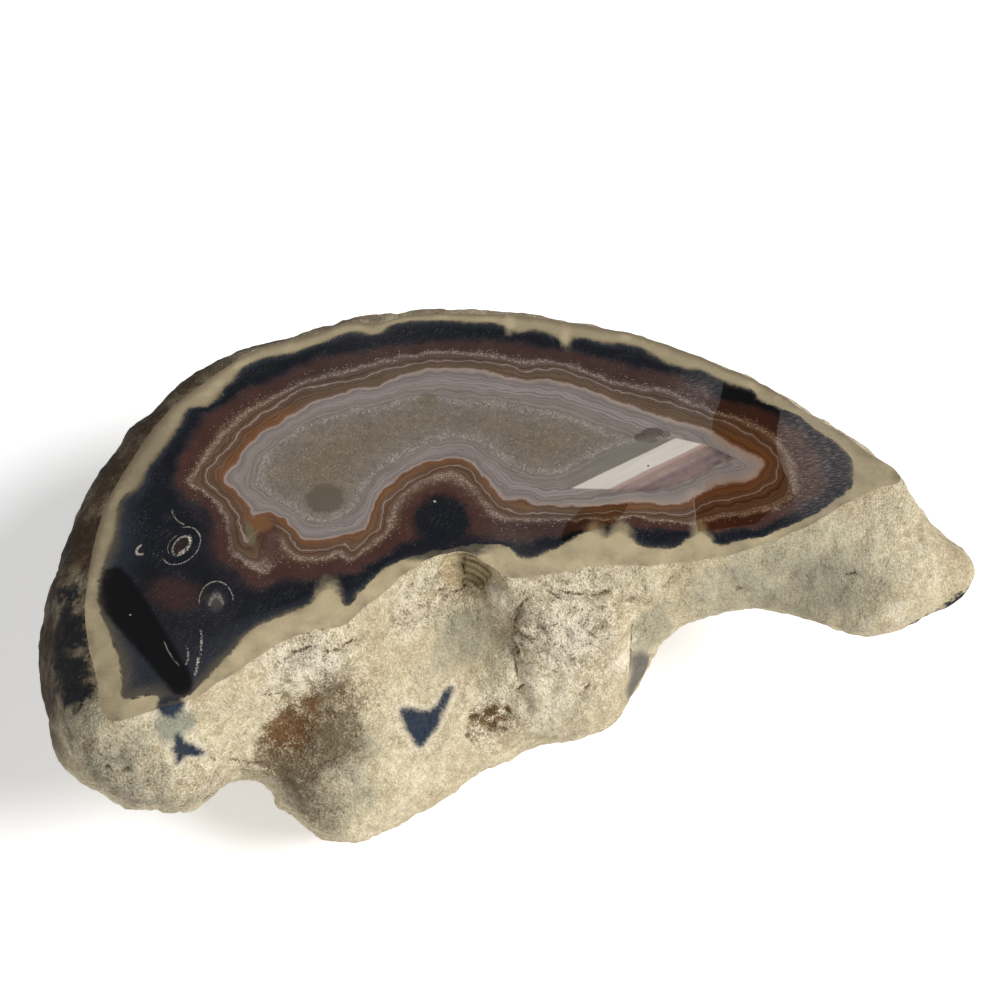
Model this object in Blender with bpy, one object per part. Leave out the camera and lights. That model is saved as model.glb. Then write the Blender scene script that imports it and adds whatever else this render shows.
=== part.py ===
"""Half of an agate nodule, sawn once and polished on the cut.

The stone lies on its rough back with the polished face up and level. Lengths in the tables below are
millimetres on a drawing whose +X runs to the right along the stone and +Y away from the viewer; depths are
measured down from the polished face. MIDDLE moves the drawing so that the part's origin is the middle of
its underside, and the mesh itself is in metres, +Z up.
"""

import math

import bmesh
import bpy
import numpy as np
from mathutils import Vector, noise

NAME = "agate"
MM = 0.001

HEIGHT = 54.0            # polished face above the flat spot that the stone rests on
MIDDLE = (1.29, 1.76)    # drawing point that stands over the middle of the underside
COLUMNS = 168            # mesh columns round the stone
ROWS = 26                # mesh rows from the polished edge down to the flat spot
FIRST_ROW = 1.5          # length of the first row, the broken edge just below the polish

# Edge of the polished face, anticlockwise from the right-hand tip
FACE = [
    (65.4, 4.0), (60.4, 10.6), (52.0, 18.5), (44.5, 25.5), (35.0, 31.5), (24.0, 37.0), (12.0, 40.4),
    (-1.0, 42.4), (-14.0, 42.3), (-18.5, 41.5), (-21.7, 39.8), (-24.8, 40.6), (-32.5, 37.3), (-42.7, 33.2),
    (-49.6, 26.5), (-55.6, 19.4), (-59.6, 10.4), (-62.9, 0.5), (-64.2, -11.0), (-63.5, -24.0),
    (-59.9, -36.0), (-57.6, -42.6), (-52.5, -40.9), (-47.5, -39.4), (-38.7, -32.8), (-33.7, -28.5),
    (-28.7, -26.0), (-24.0, -25.0), (-20.0, -20.6), (-15.3, -15.4), (-11.0, -11.8), (-6.5, -10.4),
    (-3.2, -11.8), (1.0, -16.0), (5.5, -15.5), (12.0, -13.9), (26.0, -13.1), (33.0, -12.2), (39.5, -9.9),
    (45.0, -7.4), (50.5, -4.4), (55.5, -0.8), (60.0, 2.0),
]

# Level sections through the stone from the polished face down, each with the two ends of the line inside
# it that the mesh columns spread from, and its outline in the same order as the face
SECTIONS = {
    0.0: ((-42.0, 3.0), (32.0, 15.0), FACE),
    1.5: ((-42.0, 3.0), (34.0, 14.0), [
        (67.0, 2.8), (62.0, 10.8), (53.3, 19.6), (45.8, 26.8), (36.0, 32.9), (24.5, 38.3), (12.0, 42.0),
        (-1.0, 44.4), (-13.5, 45.8), (-20.0, 44.4), (-28.0, 41.8), (-36.0, 38.8), (-45.5, 34.6),
        (-52.5, 29.6), (-58.5, 21.5), (-63.2, 12.0), (-67.6, 2.0), (-68.4, -9.0), (-68.6, -22.0),
        (-66.3, -33.0), (-60.5, -43.8), (-53.0, -42.2), (-47.3, -40.4), (-38.2, -33.8), (-33.3, -29.6),
        (-28.3, -27.4), (-23.6, -26.0), (-19.2, -21.6), (-14.6, -16.6), (-10.6, -13.0), (-6.2, -11.8),
        (-2.6, -13.2), (1.2, -17.0), (6.0, -16.5), (12.4, -15.2), (26.3, -13.8), (33.3, -12.6),
        (40.0, -10.6), (46.0, -8.6), (51.7, -6.0), (57.0, -3.0), (62.5, -0.5),
    ]),
    6.0: ((-42.0, 3.0), (36.0, 13.0), [
        (70.6, -3.0), (68.0, 5.0), (60.0, 16.5), (49.0, 26.0), (35.0, 35.6), (13.0, 44.2), (-13.0, 47.6),
        (-35.0, 42.6), (-47.0, 37.0), (-56.0, 29.5), (-62.2, 19.2), (-67.6, 7.6), (-70.4, -8.0),
        (-70.8, -22.0), (-66.5, -37.0), (-60.5, -45.4), (-54.0, -45.0), (-48.0, -43.2), (-41.0, -37.3),
        (-34.0, -32.3), (-23.0, -28.8), (-18.0, -23.4), (-13.0, -18.0), (-8.0, -14.8), (-3.0, -15.6),
        (1.5, -18.4), (13.0, -17.8), (27.0, -14.6), (40.0, -11.0), (46.0, -10.0), (52.0, -9.5),
        (58.0, -9.5), (65.0, -8.0),
    ]),
    14.0: ((-42.0, 2.0), (44.0, 11.0), [
        (78.2, -6.3), (74.2, 2.0), (65.0, 17.0), (51.0, 29.5), (33.0, 41.0), (8.0, 49.5), (-20.0, 49.5),
        (-47.0, 39.5), (-58.0, 30.0), (-66.0, 18.0), (-71.3, 4.0), (-73.4, -11.0), (-73.0, -24.0),
        (-70.5, -34.0), (-66.2, -41.2), (-60.0, -46.0), (-53.0, -47.6), (-47.5, -47.4), (-44.0, -43.0),
        (-40.0, -38.5), (-34.0, -34.5), (-28.0, -35.0), (-22.0, -33.5), (-16.0, -27.0), (-10.0, -21.5),
        (-4.0, -20.0), (1.0, -22.0), (13.0, -22.0), (20.0, -20.0), (24.0, -16.0), (29.0, -13.6),
        (35.0, -11.9), (42.0, -10.7), (48.0, -12.4), (54.0, -15.4), (60.0, -15.6), (66.0, -14.3),
        (72.0, -10.4),
    ]),
    22.0: ((-42.0, 2.0), (46.0, 10.0), [
        (71.0, -3.0), (69.5, 6.0), (60.0, 21.0), (45.0, 33.5), (23.0, 45.0), (-6.0, 51.0), (-36.0, 46.5),
        (-60.0, 29.0), (-69.0, 15.0), (-74.3, 0.0), (-75.2, -12.0), (-72.8, -25.0), (-69.0, -34.3),
        (-63.0, -40.8), (-56.5, -43.6), (-49.8, -44.8), (-45.4, -41.8), (-42.0, -37.4), (-38.5, -37.0),
        (-34.0, -38.4), (-28.0, -41.0), (-21.0, -40.0), (-14.0, -35.5), (-7.0, -30.5), (0.0, -27.5),
        (6.0, -27.5), (12.0, -27.5), (18.0, -27.0), (22.0, -21.5), (24.6, -16.0), (27.5, -10.3),
        (31.5, -7.7), (37.0, -5.5), (43.0, -4.6), (48.0, -5.2), (53.0, -8.4), (58.0, -10.0), (64.0, -9.2),
    ]),
    30.0: ((-40.0, 0.0), (44.0, 12.0), [
        (61.0, 3.0), (58.0, 14.0), (44.0, 27.5), (26.0, 38.5), (0.0, 47.0), (-28.0, 46.0), (-53.0, 34.0),
        (-67.0, 12.0), (-72.0, -7.0), (-69.8, -19.0), (-63.5, -29.3), (-57.5, -34.6), (-51.5, -37.6),
        (-46.3, -35.4), (-42.5, -32.6), (-37.5, -34.0), (-34.0, -38.0), (-29.0, -42.5), (-23.0, -44.0),
        (-17.0, -41.0), (-10.0, -36.0), (-4.0, -32.0), (0.5, -29.5), (4.0, -26.2), (9.0, -25.6),
        (15.4, -26.0), (19.4, -21.7), (23.0, -15.6), (25.0, -9.0), (28.0, -3.5), (34.0, 1.2), (41.0, 3.2),
        (48.0, 3.2), (55.0, 0.5),
    ]),
    38.0: ((-34.0, 2.0), (22.0, 12.0), [
        (42.0, 14.0), (34.0, 25.0), (17.0, 35.5), (-7.0, 42.5), (-33.0, 39.5), (-54.0, 24.0), (-62.5, 3.0),
        (-60.5, -10.0), (-55.5, -20.5), (-49.5, -26.0), (-43.5, -27.6), (-39.5, -29.2), (-35.0, -34.0),
        (-30.0, -39.0), (-24.0, -40.0), (-17.0, -37.0), (-10.0, -32.2), (-3.6, -27.2), (1.2, -23.4),
        (4.4, -19.6), (9.0, -18.8), (15.0, -19.0), (19.5, -15.5), (23.0, -8.5), (26.0, 1.0), (32.0, 7.5),
    ]),
    46.0: ((-28.0, 4.0), (4.0, 8.0), [
        (21.0, 14.0), (12.0, 27.5), (-10.0, 34.5), (-33.0, 28.5), (-47.0, 12.0), (-48.5, -3.0),
        (-44.5, -14.0), (-39.0, -23.0), (-34.0, -30.0), (-29.0, -34.4), (-24.0, -35.0), (-17.0, -32.0),
        (-10.0, -26.9), (-2.8, -21.4), (1.9, -16.4), (6.2, -13.6), (13.0, -12.5), (18.0, -4.0),
    ]),
    HEIGHT: ((-24.0, 2.0), (-2.0, 6.0), [
        (10.0, 12.0), (-3.0, 25.0), (-25.0, 23.0), (-38.0, 8.0), (-35.0, -12.0), (-28.0, -22.5),
        (-18.0, -25.5), (-5.0, -18.5), (8.0, -1.0),
    ]),
}
EVEN_SECTION = 14.0      # depth of the section along which the columns stand at even steps

# Lumps and hollows of the rind: middle (x, y, depth), radius, height (a hollow's is negative), and how steep
# the rim is (0 is a soft swelling, larger numbers make a plate or pit with a step round it)
RELIEF = {
    "lifted plate": ((-29.0, -29.0, 3.6), 6.0, 0.9, 6.0),
    "stained hollow": ((-31.0, -34.0, 12.5), 6.5, -2.0, 0.0),
    "hollow right of the plate": ((-23.5, -31.5, 10.0), 5.5, -1.4, 0.0),
    "left shelf": ((-26.0, -40.5, 21.0), 7.0, 1.4, 0.0),
    "middle ridge": ((-9.0, -19.5, 12.0), 8.0, 1.4, 0.0),
    "cracked boss": ((10.0, -20.0, 9.5), 9.0, 1.5, 3.5),
    "gully beside the boss": ((-1.2, -19.0, 8.5), 4.0, -1.2, 0.0),
    "rusty pit": ((-0.9, -27.0, 20.8), 3.6, -1.8, 2.0),
    "lower knob": ((15.0, -26.5, 23.0), 6.5, 1.5, 0.0),
    "clear patch": ((-11.5, -29.0, 18.5), 5.0, -0.6, 0.0),
    "pebble": ((25.2, -14.4, 14.5), 4.0, 1.5, 2.5),
    "edge chip": ((-4.2, -13.2, 3.4), 3.6, -2.2, 3.0),
    "right dimple": ((46.0, -11.0, 6.5), 4.0, -1.2, 0.0),
    "right lobe hollow": ((54.0, -10.5, 7.0), 4.5, -1.0, 0.0),
    "right lobe swelling": ((64.0, -13.5, 12.0), 5.0, 0.9, 0.0),
    "left lobe hollow": ((-46.5, -43.5, 8.0), 4.6, -1.5, 0.0),
    "left lobe swelling": ((-58.0, -45.5, 13.0), 7.0, 0.8, 0.0),
    "dark side groove": ((-69.5, -24.0, 5.0), 5.0, -1.2, 0.0),
    "dark side rib": ((-72.5, -2.0, 22.0), 8.0, 0.8, 0.0),
    "back knob": ((-32.0, 46.0, 20.0), 11.0, 2.2, 0.0),
    "back hollow": ((-6.0, 49.0, 25.0), 9.0, -2.4, 0.0),
    "back boss": ((20.0, 45.0, 24.0), 10.0, 2.0, 1.5),
    "back dimple": ((45.0, 33.0, 18.0), 7.0, -1.8, 0.0),
    "under knob": ((-52.0, 14.0, 40.0), 9.0, 2.0, 0.0),
    "under hollow": ((28.0, 18.0, 40.0), 9.0, -2.0, 0.0),
}

# Roughness of the rind, as octaves: size of the bumps and how far they stand, then the knobs that cover the
# back and the underside
GRAIN = ((16.0, 0.7), (8.0, 0.55), (4.6, 0.4))
KNOBS = (15.0, 1.6)
EDGE_WAVER = 0.3         # how far the sawn edge wanders in and out
SETTLE = 3.5             # depth over which the relief grows in below the sawn edge
FOOT_SETTLE = 6.0        # height over which it fades out again above the flat spot
CLEAR = 0.3              # how far the rough wall stays from the levels of the face and the flat spot


def smooth_line(points, closed, fine):
    """Dense points on a smooth line through the points, with tangents weighted by their spacing."""
    knots = np.array(points, float)
    if closed:
        knots = np.vstack((knots[-1:], knots, knots[:2]))
    gaps = np.linalg.norm(np.diff(knots, axis=0), axis=1)[:, None]
    slopes = np.diff(knots, axis=0) / gaps
    inner = (slopes[:-1] * gaps[1:] + slopes[1:] * gaps[:-1]) / (gaps[:-1] + gaps[1:])
    if closed:
        knots, gaps, tangents = knots[1:-1], gaps[1:-1], inner
    else:
        tangents = np.vstack((slopes[:1], inner, slopes[-1:]))
    t = np.linspace(0.0, 1.0, fine, endpoint=False)[None, :, None]
    start, end = knots[:-1, None, :], knots[1:, None, :]
    leave, arrive = tangents[:-1, None, :] * gaps[:, None], tangents[1:, None, :] * gaps[:, None]
    line = (start * (2 * t ** 3 - 3 * t ** 2 + 1) + leave * (t ** 3 - 2 * t ** 2 + t)
            + end * (3 * t ** 2 - 2 * t ** 3) + arrive * (t ** 3 - t ** 2))
    line = line.reshape(-1, knots.shape[1])
    return line if closed else np.vstack((line, knots[-1:]))


def length_along(line):
    """Length from the start of a line to each of its points."""
    return np.concatenate(([0.0], np.cumsum(np.linalg.norm(np.diff(line, axis=0), axis=1))))


def reach(left, right, outline, bearing):
    """Where the column on this bearing, spreading from the line left to right, meets the outline."""
    left, right = np.array(left), np.array(right)
    start = (left + right) / 2 + (right - left) / 2 * math.cos(bearing)
    along = np.array((math.cos(bearing), math.sin(bearing)))
    across = np.array((-along[1], along[0]))
    side, far = (outline - start) @ across, (outline - start) @ along
    next_side, next_far = np.roll(side, -1), np.roll(far, -1)
    crosses = (side <= 0) != (next_side <= 0)
    share = side[crosses] / (side[crosses] - next_side[crosses])
    distance = far[crosses] + share * (next_far[crosses] - far[crosses])
    return start + along * distance.max()


def loft():
    """Grid of points through all the sections, rows down by columns round, as (x, y, -depth)."""
    outlines = {depth: (left, right, smooth_line(points, True, 12))
                for depth, (left, right, points) in SECTIONS.items()}
    turn = np.linspace(-math.pi, math.pi, 1441)
    run = length_along(np.array([reach(*outlines[EVEN_SECTION], bearing) for bearing in turn]))
    bearings = np.interp(np.linspace(0.0, run[-1], COLUMNS, endpoint=False), run, turn)
    columns = []
    for bearing in bearings:
        knots = [(*reach(*outlines[depth], bearing), -depth) for depth in outlines]
        line = smooth_line(knots, False, 10)
        down = length_along(line)
        steps = np.concatenate(([0.0], np.linspace(FIRST_ROW, down[-1], ROWS)))
        columns.append([[np.interp(step, down, line[:, k]) for k in range(3)] for step in steps])
    return np.array(columns).transpose(1, 0, 2)


def outward(grid):
    """Outward normals over the grid."""
    down = np.gradient(grid, axis=0)
    along = np.roll(grid, -1, 1) - np.roll(grid, 1, 1)
    normal = np.cross(down, along)
    return normal / np.linalg.norm(normal, axis=2, keepdims=True)


def evened(grid, rounds=24):
    """The same surface with its points slid along it to even spacing."""
    for _ in range(rounds):
        normals = outward(grid)
        middle = (np.roll(grid, 1, 1) + np.roll(grid, -1, 1)) / 2
        middle[1:-1] = (middle[1:-1] + (grid[:-2] + grid[2:]) / 2) / 2
        pull = middle - grid
        pull -= normals * (pull * normals).sum(axis=2, keepdims=True)
        grid = grid.copy()
        grid[2:-1] += pull[2:-1] * 0.6
    return grid


def swelling(points, middle, radius, height, rim):
    """How far one lump or hollow lifts each point."""
    x, y, depth = middle
    away = np.linalg.norm(points - np.array((x, y, -depth)), axis=-1) / radius
    if rim > 0.0:
        return height / (1.0 + np.exp((away - 1.0) * rim * 2.0))
    return height * np.exp(-away ** 2 * 1.4)


def roughness(point, normal):
    """Height of the grain and of the knobs at one point."""
    here = Vector(point)
    height = sum(stand * noise.noise(here / size) for size, stand in GRAIN)
    hidden = min(1.0, max(0.0, 0.35 + 0.9 * normal[1] - 0.6 * normal[2]))
    size, stand = KNOBS
    nearest = noise.voronoi(here / size)[0][0]
    return height + hidden * stand * (0.75 - nearest)


def weathered(grid):
    """The grid with its lumps, hollows and rough grain; the sawn face and the flat spot stay flat."""
    normals = outward(grid)
    lift = sum(swelling(grid, *feature) for feature in RELIEF.values())
    lift = lift + np.array([[roughness(p, n) for p, n in zip(*row)] for row in zip(grid, normals)])
    depth = -grid[:, :, 2:]
    ease = np.clip(depth / SETTLE, 0.0, 1.0) * np.clip((HEIGHT - depth) / FOOT_SETTLE, 0.0, 1.0)
    moved = grid + normals * lift[:, :, None] * ease
    for point, normal in zip(moved[0], normals[0]):
        point[:2] += normal[:2] * EDGE_WAVER * noise.noise(Vector(point) / 2.5)
    moved[1:-1, :, 2] = np.clip(moved[1:-1, :, 2], CLEAR - HEIGHT, -CLEAR)
    return moved


def finish(name, colour, roughness_value):
    """A plain material: one colour and one roughness."""
    material = bpy.data.materials.new(name)
    material.use_nodes = True
    shader = material.node_tree.nodes["Principled BSDF"]
    shader.inputs["Base Color"].default_value = (*colour, 1.0)
    shader.inputs["Roughness"].default_value = roughness_value
    shader.inputs["Metallic"].default_value = 0.0
    return material


def stone_mesh(grid):
    """The closed mesh of the stone: the rough wall, the polished face and the flat spot."""
    bm = bmesh.new()
    shift = np.array((MIDDLE[0], MIDDLE[1], -HEIGHT))
    rings = [[bm.verts.new(Vector((point - shift) * MM)) for point in row] for row in grid]
    for upper, lower in zip(rings, rings[1:]):
        for k in range(COLUMNS):
            following = (k + 1) % COLUMNS
            corners = upper[k], lower[k], lower[following], upper[following]
            if (corners[0].co - corners[2].co).length > (corners[1].co - corners[3].co).length:
                corners = corners[1:] + corners[:1]
            for triangle in (corners[:3], (corners[0], corners[2], corners[3])):
                bm.faces.new(triangle).smooth = True
    polish = bm.faces.new(rings[0])
    polish.material_index = 1
    bm.faces.new(reversed(rings[-1]))
    mesh = bpy.data.meshes.new(NAME)
    bm.to_mesh(mesh)
    bm.free()
    mesh.materials.append(finish("rind", (0.56, 0.47, 0.32), 0.85))
    mesh.materials.append(finish("polished_agate", (0.16, 0.11, 0.09), 0.2))
    return mesh


def main():
    for thing in list(bpy.data.objects):
        bpy.data.objects.remove(thing, do_unlink=True)
    collection = bpy.data.collections.new("agate_half_nodule")
    bpy.context.scene.collection.children.link(collection)
    collection.objects.link(bpy.data.objects.new(NAME, stone_mesh(weathered(evened(loft())))))


main()
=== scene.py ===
"""Looks of an agate half nodule: its polished, banded face, its weathered rind and a plain studio.

Lengths in the tables are millimetres on a drawing of the polished face, with +X to the right along the stone
and +Y away from the viewer. A third number is the depth below the face. DRAWING_ORIGIN places the drawing on
the part, whose mesh is in metres.
"""

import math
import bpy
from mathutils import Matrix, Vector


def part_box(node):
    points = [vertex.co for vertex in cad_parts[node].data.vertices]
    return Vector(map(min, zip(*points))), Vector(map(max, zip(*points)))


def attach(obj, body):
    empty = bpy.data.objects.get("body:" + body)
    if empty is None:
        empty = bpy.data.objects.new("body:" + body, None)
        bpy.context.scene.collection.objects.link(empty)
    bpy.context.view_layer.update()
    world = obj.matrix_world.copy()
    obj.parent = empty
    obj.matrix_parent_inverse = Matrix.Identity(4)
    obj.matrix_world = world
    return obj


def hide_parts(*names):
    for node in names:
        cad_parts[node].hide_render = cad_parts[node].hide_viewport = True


bl_info = {
    "name": "Agate Half Nodule",
    "version": (1, 0, 0),
    "blender": (4, 5, 0),
    "location": "3D View > Sidebar > Agate",
    "description": "Builds the polished face and the rind of an agate half nodule, and a studio for it",
    "category": "Object",
}

import bmesh
import bpy
import numpy as np
from bpy.props import FloatProperty, FloatVectorProperty, IntProperty, PointerProperty
from mathutils import Vector, geometry, noise

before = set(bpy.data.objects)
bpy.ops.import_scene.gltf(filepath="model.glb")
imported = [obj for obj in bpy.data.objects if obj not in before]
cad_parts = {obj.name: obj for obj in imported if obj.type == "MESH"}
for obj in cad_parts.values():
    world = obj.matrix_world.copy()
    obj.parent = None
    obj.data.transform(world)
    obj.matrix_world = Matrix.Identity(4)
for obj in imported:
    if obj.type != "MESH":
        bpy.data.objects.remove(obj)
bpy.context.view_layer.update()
NODE = "agate"
PIECE = "agate_stone"
LOWEST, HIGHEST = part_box(NODE)

MM = 0.001
FACE_LEVEL = HIGHEST.z
DRAWING_ORIGIN = Vector((-1.29 * MM, -1.76 * MM, FACE_LEVEL))
LEVEL_GAP = 0.02 * MM            # how near a vertex is to the level of the face or the flat spot to lie on it
MERGE_GAP = LEVEL_GAP / 20       # how near each other two vertices are to be one

# Bands of the polished face, each drawn as the closed line at which it begins, from the rind inwards
BAND_LINES = {
    "blue_black": [
        (57.2, 4.7), (57, 9.3), (56, 11.3), (54.3, 13.3), (51, 16.7), (49.7, 18.3), (46.3, 20.3),
        (43.3, 22.3), (42.7, 23.7), (41.3, 24.7), (37.3, 26.5), (36, 27.7), (34.3, 28.8), (32, 29),
        (30, 29.8), (27, 31.7), (24, 34.3), (18.3, 35.3), (12.3, 36.3), (11.3, 35.3), (10, 36.3), (6, 38.5),
        (4.3, 38), (3, 37.8), (1.7, 39), (-4.3, 40.3), (-11, 40.8), (-17.3, 40.3), (-19.3, 39.5),
        (-20.7, 37.8), (-22.3, 37.3), (-25, 38), (-29.7, 36), (-32.7, 34.3), (-36, 32.7), (-40.3, 31.8),
        (-43.7, 29.3), (-46.2, 25.3), (-49.3, 20.3), (-52, 20), (-53, 16.7), (-55, 11.7), (-57.3, 7),
        (-58.3, 3), (-60.7, 0.3), (-61, -7.5), (-62, -13.3), (-62.2, -20), (-60, -25.3), (-57.8, -30),
        (-56.3, -35.3), (-56, -38.2), (-52, -37.7), (-50.6, -38.2), (-50.6, -39.9), (-49, -39.7),
        (-46.3, -38.1), (-43.3, -34), (-40.3, -29.3), (-38.7, -26.7), (-34.3, -23.3), (-29.7, -21.3),
        (-28.3, -19.3), (-26.7, -17.5), (-25.3, -18.7), (-23.7, -21.1), (-21.3, -17.7), (-17.7, -13.7),
        (-12.7, -11.3), (-8, -10), (-2.7, -9), (1.7, -9.8), (4, -12), (7.3, -10.7), (11.7, -7.7),
        (14.3, -6.3), (16.3, -7.6), (19, -6.3), (21.3, -8.3), (23, -9.5), (28, -9.3), (30, -7.7),
        (31.7, -6.8), (33, -7.3), (34.3, -9.2), (38.7, -8.3), (43.3, -6.7), (48.3, -4.3), (53.3, -0.7),
        (56.3, 2.2),
    ],
    "red_brown": [
        (53.3, 6), (52.7, 10), (50, 14.7), (46.5, 18.7), (43.3, 20.7), (37.3, 22.3), (34, 25.5),
        (29.3, 28.3), (23.3, 29.7), (20.7, 30.7), (14, 33), (7.3, 34.7), (0.7, 36), (-6, 36.2),
        (-12.7, 35.7), (-19.3, 35), (-25.3, 33.2), (-32, 31.7), (-37.3, 28), (-42.7, 24.7), (-46.7, 21.3),
        (-50, 18), (-51.3, 13.3), (-53.2, 7), (-53, 4), (-50.7, 0.7), (-47.3, -2.3), (-45.3, -6.7),
        (-44.3, -11.7), (-41.3, -14.7), (-38.3, -18), (-33.7, -16.7), (-27, -16), (-21, -14),
        (-17.3, -11), (-14.5, -9), (-8, -8.6), (-3, -8.5), (2, -9), (6.7, -8.2), (10, -7.6), (14, -5.6),
        (19, -5.6), (23.3, -5.7), (28.7, -6.5), (36, -6.5), (41.7, -5.7), (46, -3), (50.7, 0.3),
        (52.7, 2.3),
    ],
    "speckled_line": [
        (47.5, 5), (47, 9), (45.3, 12.7), (40, 17.3), (36, 19), (32.3, 21), (27.7, 23.7), (22.7, 25),
        (19, 26), (14, 28.7), (10, 30.5), (4, 30.8), (0, 31.7), (-6, 32.8), (-12.7, 32.8), (-18, 31.5),
        (-23.3, 29.7), (-28, 27.8), (-33, 26), (-37, 23), (-42, 19.3), (-44.7, 16), (-47, 11.7),
        (-48.7, 7.7), (-50.3, 3.7), (-47.3, 1.3), (-44.3, -2.7), (-42.7, -6.7), (-42.6, -10.5),
        (-40, -12.8), (-36.7, -14.5), (-36.3, -12), (-36.6, -8), (-36, -6.6), (-35.3, -7), (-34.3, -8.7),
        (-33, -10.7), (-31.3, -11.5), (-29.3, -11.8), (-27, -11.5), (-25.3, -10.5), (-23, -12),
        (-20.7, -9.3), (-18, -6.7), (-17.3, -2.3), (-15.3, 1.7), (-11.7, 4.8), (-7.3, 5.7), (-4.7, 3),
        (-2.3, -0.3), (0, -3.3), (4, -3.8), (10.7, -4), (16, -3.9), (22.3, -3.4), (27, -4.6), (31, -4.8),
        (36, -3.2), (41, -2.5), (45, -1), (47.3, 1.5),
    ],
    "pale_line": [
        (45.6, 7), (45.5, 9.5), (43.3, 12.7), (38, 16.7), (33.3, 19), (28.7, 21.3), (23.3, 23),
        (19.7, 24.3), (15, 26.7), (10.7, 29), (6, 29.2), (4, 28.8), (2, 30), (-2, 31), (-7.3, 31.3),
        (-12, 31.1), (-17.3, 29.8), (-23, 27.5), (-28.7, 25.7), (-34.3, 24.3), (-37.7, 21), (-41.7, 17),
        (-44, 13), (-46.3, 9.3), (-48, 4.7), (-45.3, 1.3), (-42.3, -2.7), (-41.3, -6.7), (-40.2, -8.8),
        (-38.6, -6.8), (-37.3, -5), (-36, -4.7), (-34, -7), (-32, -10), (-30, -10.7), (-26.3, -9.8),
        (-24.7, -9), (-23.3, -10.3), (-20.3, -7), (-19.2, -6.3), (-18.7, -1.7), (-16.3, 2), (-12.7, 5),
        (-8, 7.2), (-6, 6.8), (-3, 3), (-0.7, -1), (1.5, -2.5), (4, -3), (9, -2.7), (13.5, -3),
        (18, -2.6), (24, -2.7), (30, -3), (33.3, -1), (40, 1), (44, 3.5),
    ],
    "lilac": [
        (43.3, 8.3), (40.3, 10.7), (36.7, 13.3), (34, 15.7), (29.3, 17.3), (25, 19.3), (21.3, 21),
        (16.3, 23.7), (11.7, 25.8), (6.7, 26.7), (4, 26.7), (0, 27.8), (-4.7, 29.2), (-10, 29.5),
        (-15.3, 28.3), (-19.3, 26.3), (-20.7, 25.2), (-24, 24.8), (-28, 23), (-30.7, 22), (-33.7, 19.3),
        (-37.3, 16.3), (-41.3, 12.3), (-43.3, 7.7), (-45, 4.3), (-42.3, 1.3), (-40, -2.3), (-39.5, -4),
        (-38.7, -3), (-37, -2.7), (-35.3, -3.3), (-32.7, -6.3), (-31, -8), (-29.3, -8.5), (-25.7, -7.3),
        (-22.3, -6.7), (-20.7, -3.5), (-20, -0.3), (-17.3, 4), (-13.7, 7), (-8.7, 8.8), (-6, 8.7),
        (-4.3, 7.3), (-1.7, 3.3), (1, 0), (3.3, 0.2), (6, -1.2), (10, -1.2), (13.3, -1.5), (20, -0.7),
        (26, -0.8), (29.3, -0.7), (32.3, 1.3), (36, 3.3), (40.7, 4), (42.5, 6),
    ],
    "quartz": [
        (24, 12.3), (20.7, 14.3), (15.3, 17), (10, 19.7), (4.7, 20.7), (-1.3, 22.2), (-8, 22.7),
        (-14.7, 23.3), (-19.3, 21.3), (-26, 19.7), (-30.7, 18), (-34.7, 15), (-38, 11.3), (-39.7, 7.3),
        (-39.7, 3), (-36, -0.5), (-32.7, -3), (-30, -5.2), (-26, -4.4), (-22.7, -1.5), (-21.7, 1.7),
        (-18.7, 6.3), (-14.7, 10), (-10, 12.5), (-6.7, 12.9), (-4, 12), (-0.3, 8.7), (4, 5.7), (9, 4.9),
        (15, 8.7), (22, 12),
    ],
}
QUARTZ_REACH = 9.0               # distance into the quartz over which the band count goes up by one

# Painted reflection: patches where the polish mirrors something dark and lacks the painted haze, so that
# they look wetter and darker than the rest of the polish
DARK_REFLECTION_PATCHES = {
    "upper right": [
        (38, 26.5), (39.6, 25.4), (42.9, 23.3), (46.9, 19.4), (46.7, 18.3), (46, 15.3), (45.5, 11.3),
        (45.8, 8.7), (46.3, 5.7), (47.2, 3), (47.5, 0.7), (46.7, -0.7), (44.7, -1.3), (42.7, -3),
        (40.7, -5), (36, -5.8), (31.4, -6.6), (31, -3), (31.4, 0.2), (33, 2), (34, 8), (35.7, 18.3),
        (36.3, 19.7), (37, 21.7), (37.5, 24),
    ],
    "lower middle": [
        (12, -3.3), (13.3, -1.5), (20.7, -0.7), (20, -2.3), (18.7, -4.3), (17.3, -5.7), (15, -6.2),
        (12.3, -7), (10, -9), (9.7, -8), (10.2, -6), (11, -4.3),
    ],
    "left": [
        (-62, -14.5), (-60.6, -13.6), (-59.2, -13.9), (-57.6, -15.6), (-54.6, -20.2), (-50.4, -27.2),
        (-46.6, -33.4), (-45.8, -35.6), (-45.9, -37.2), (-46.9, -38.2), (-48.4, -37.6), (-50.2, -35.4),
        (-55.2, -29.2), (-60.2, -23.2), (-62, -20.6),
    ],
}

# What a painted dark reflection does to the light of a colour: the painted haze of the bright surroundings
# that it takes away, the share that it leaves and the least that stays, and the black of the patch at the far
# left
REFLECTED_HAZE = (0.008, 0.009, 0.012)
DARK_REFLECTION_SHARE = (0.7, 0.56, 0.44)
DARK_REFLECTION_LEAST = (0.0022, 0.002, 0.0021)
DARK_REFLECTION_BLACK = (0.0052, 0.0048, 0.0056)

# The level-banded wedge at the right of the quartz, and the line along which its stripes lie
WEDGE = [
    (8.5, 4.6), (11.5, 2.4), (18.5, 2.2), (23.3, 1.7), (26, 2), (28.7, 3), (31.7, 4.7), (34.3, 6.3),
    (36, 7.7), (39.2, 8.9), (38, 9.4), (35.7, 11), (34.3, 12), (33, 12.2), (29.2, 13.4), (27.4, 13.2),
    (22, 12.4), (18, 10.6), (13, 7.6),
]
STRIPE_START = (11.5, 2.3)
STRIPE_TURN = 31.8               # degrees

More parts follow.
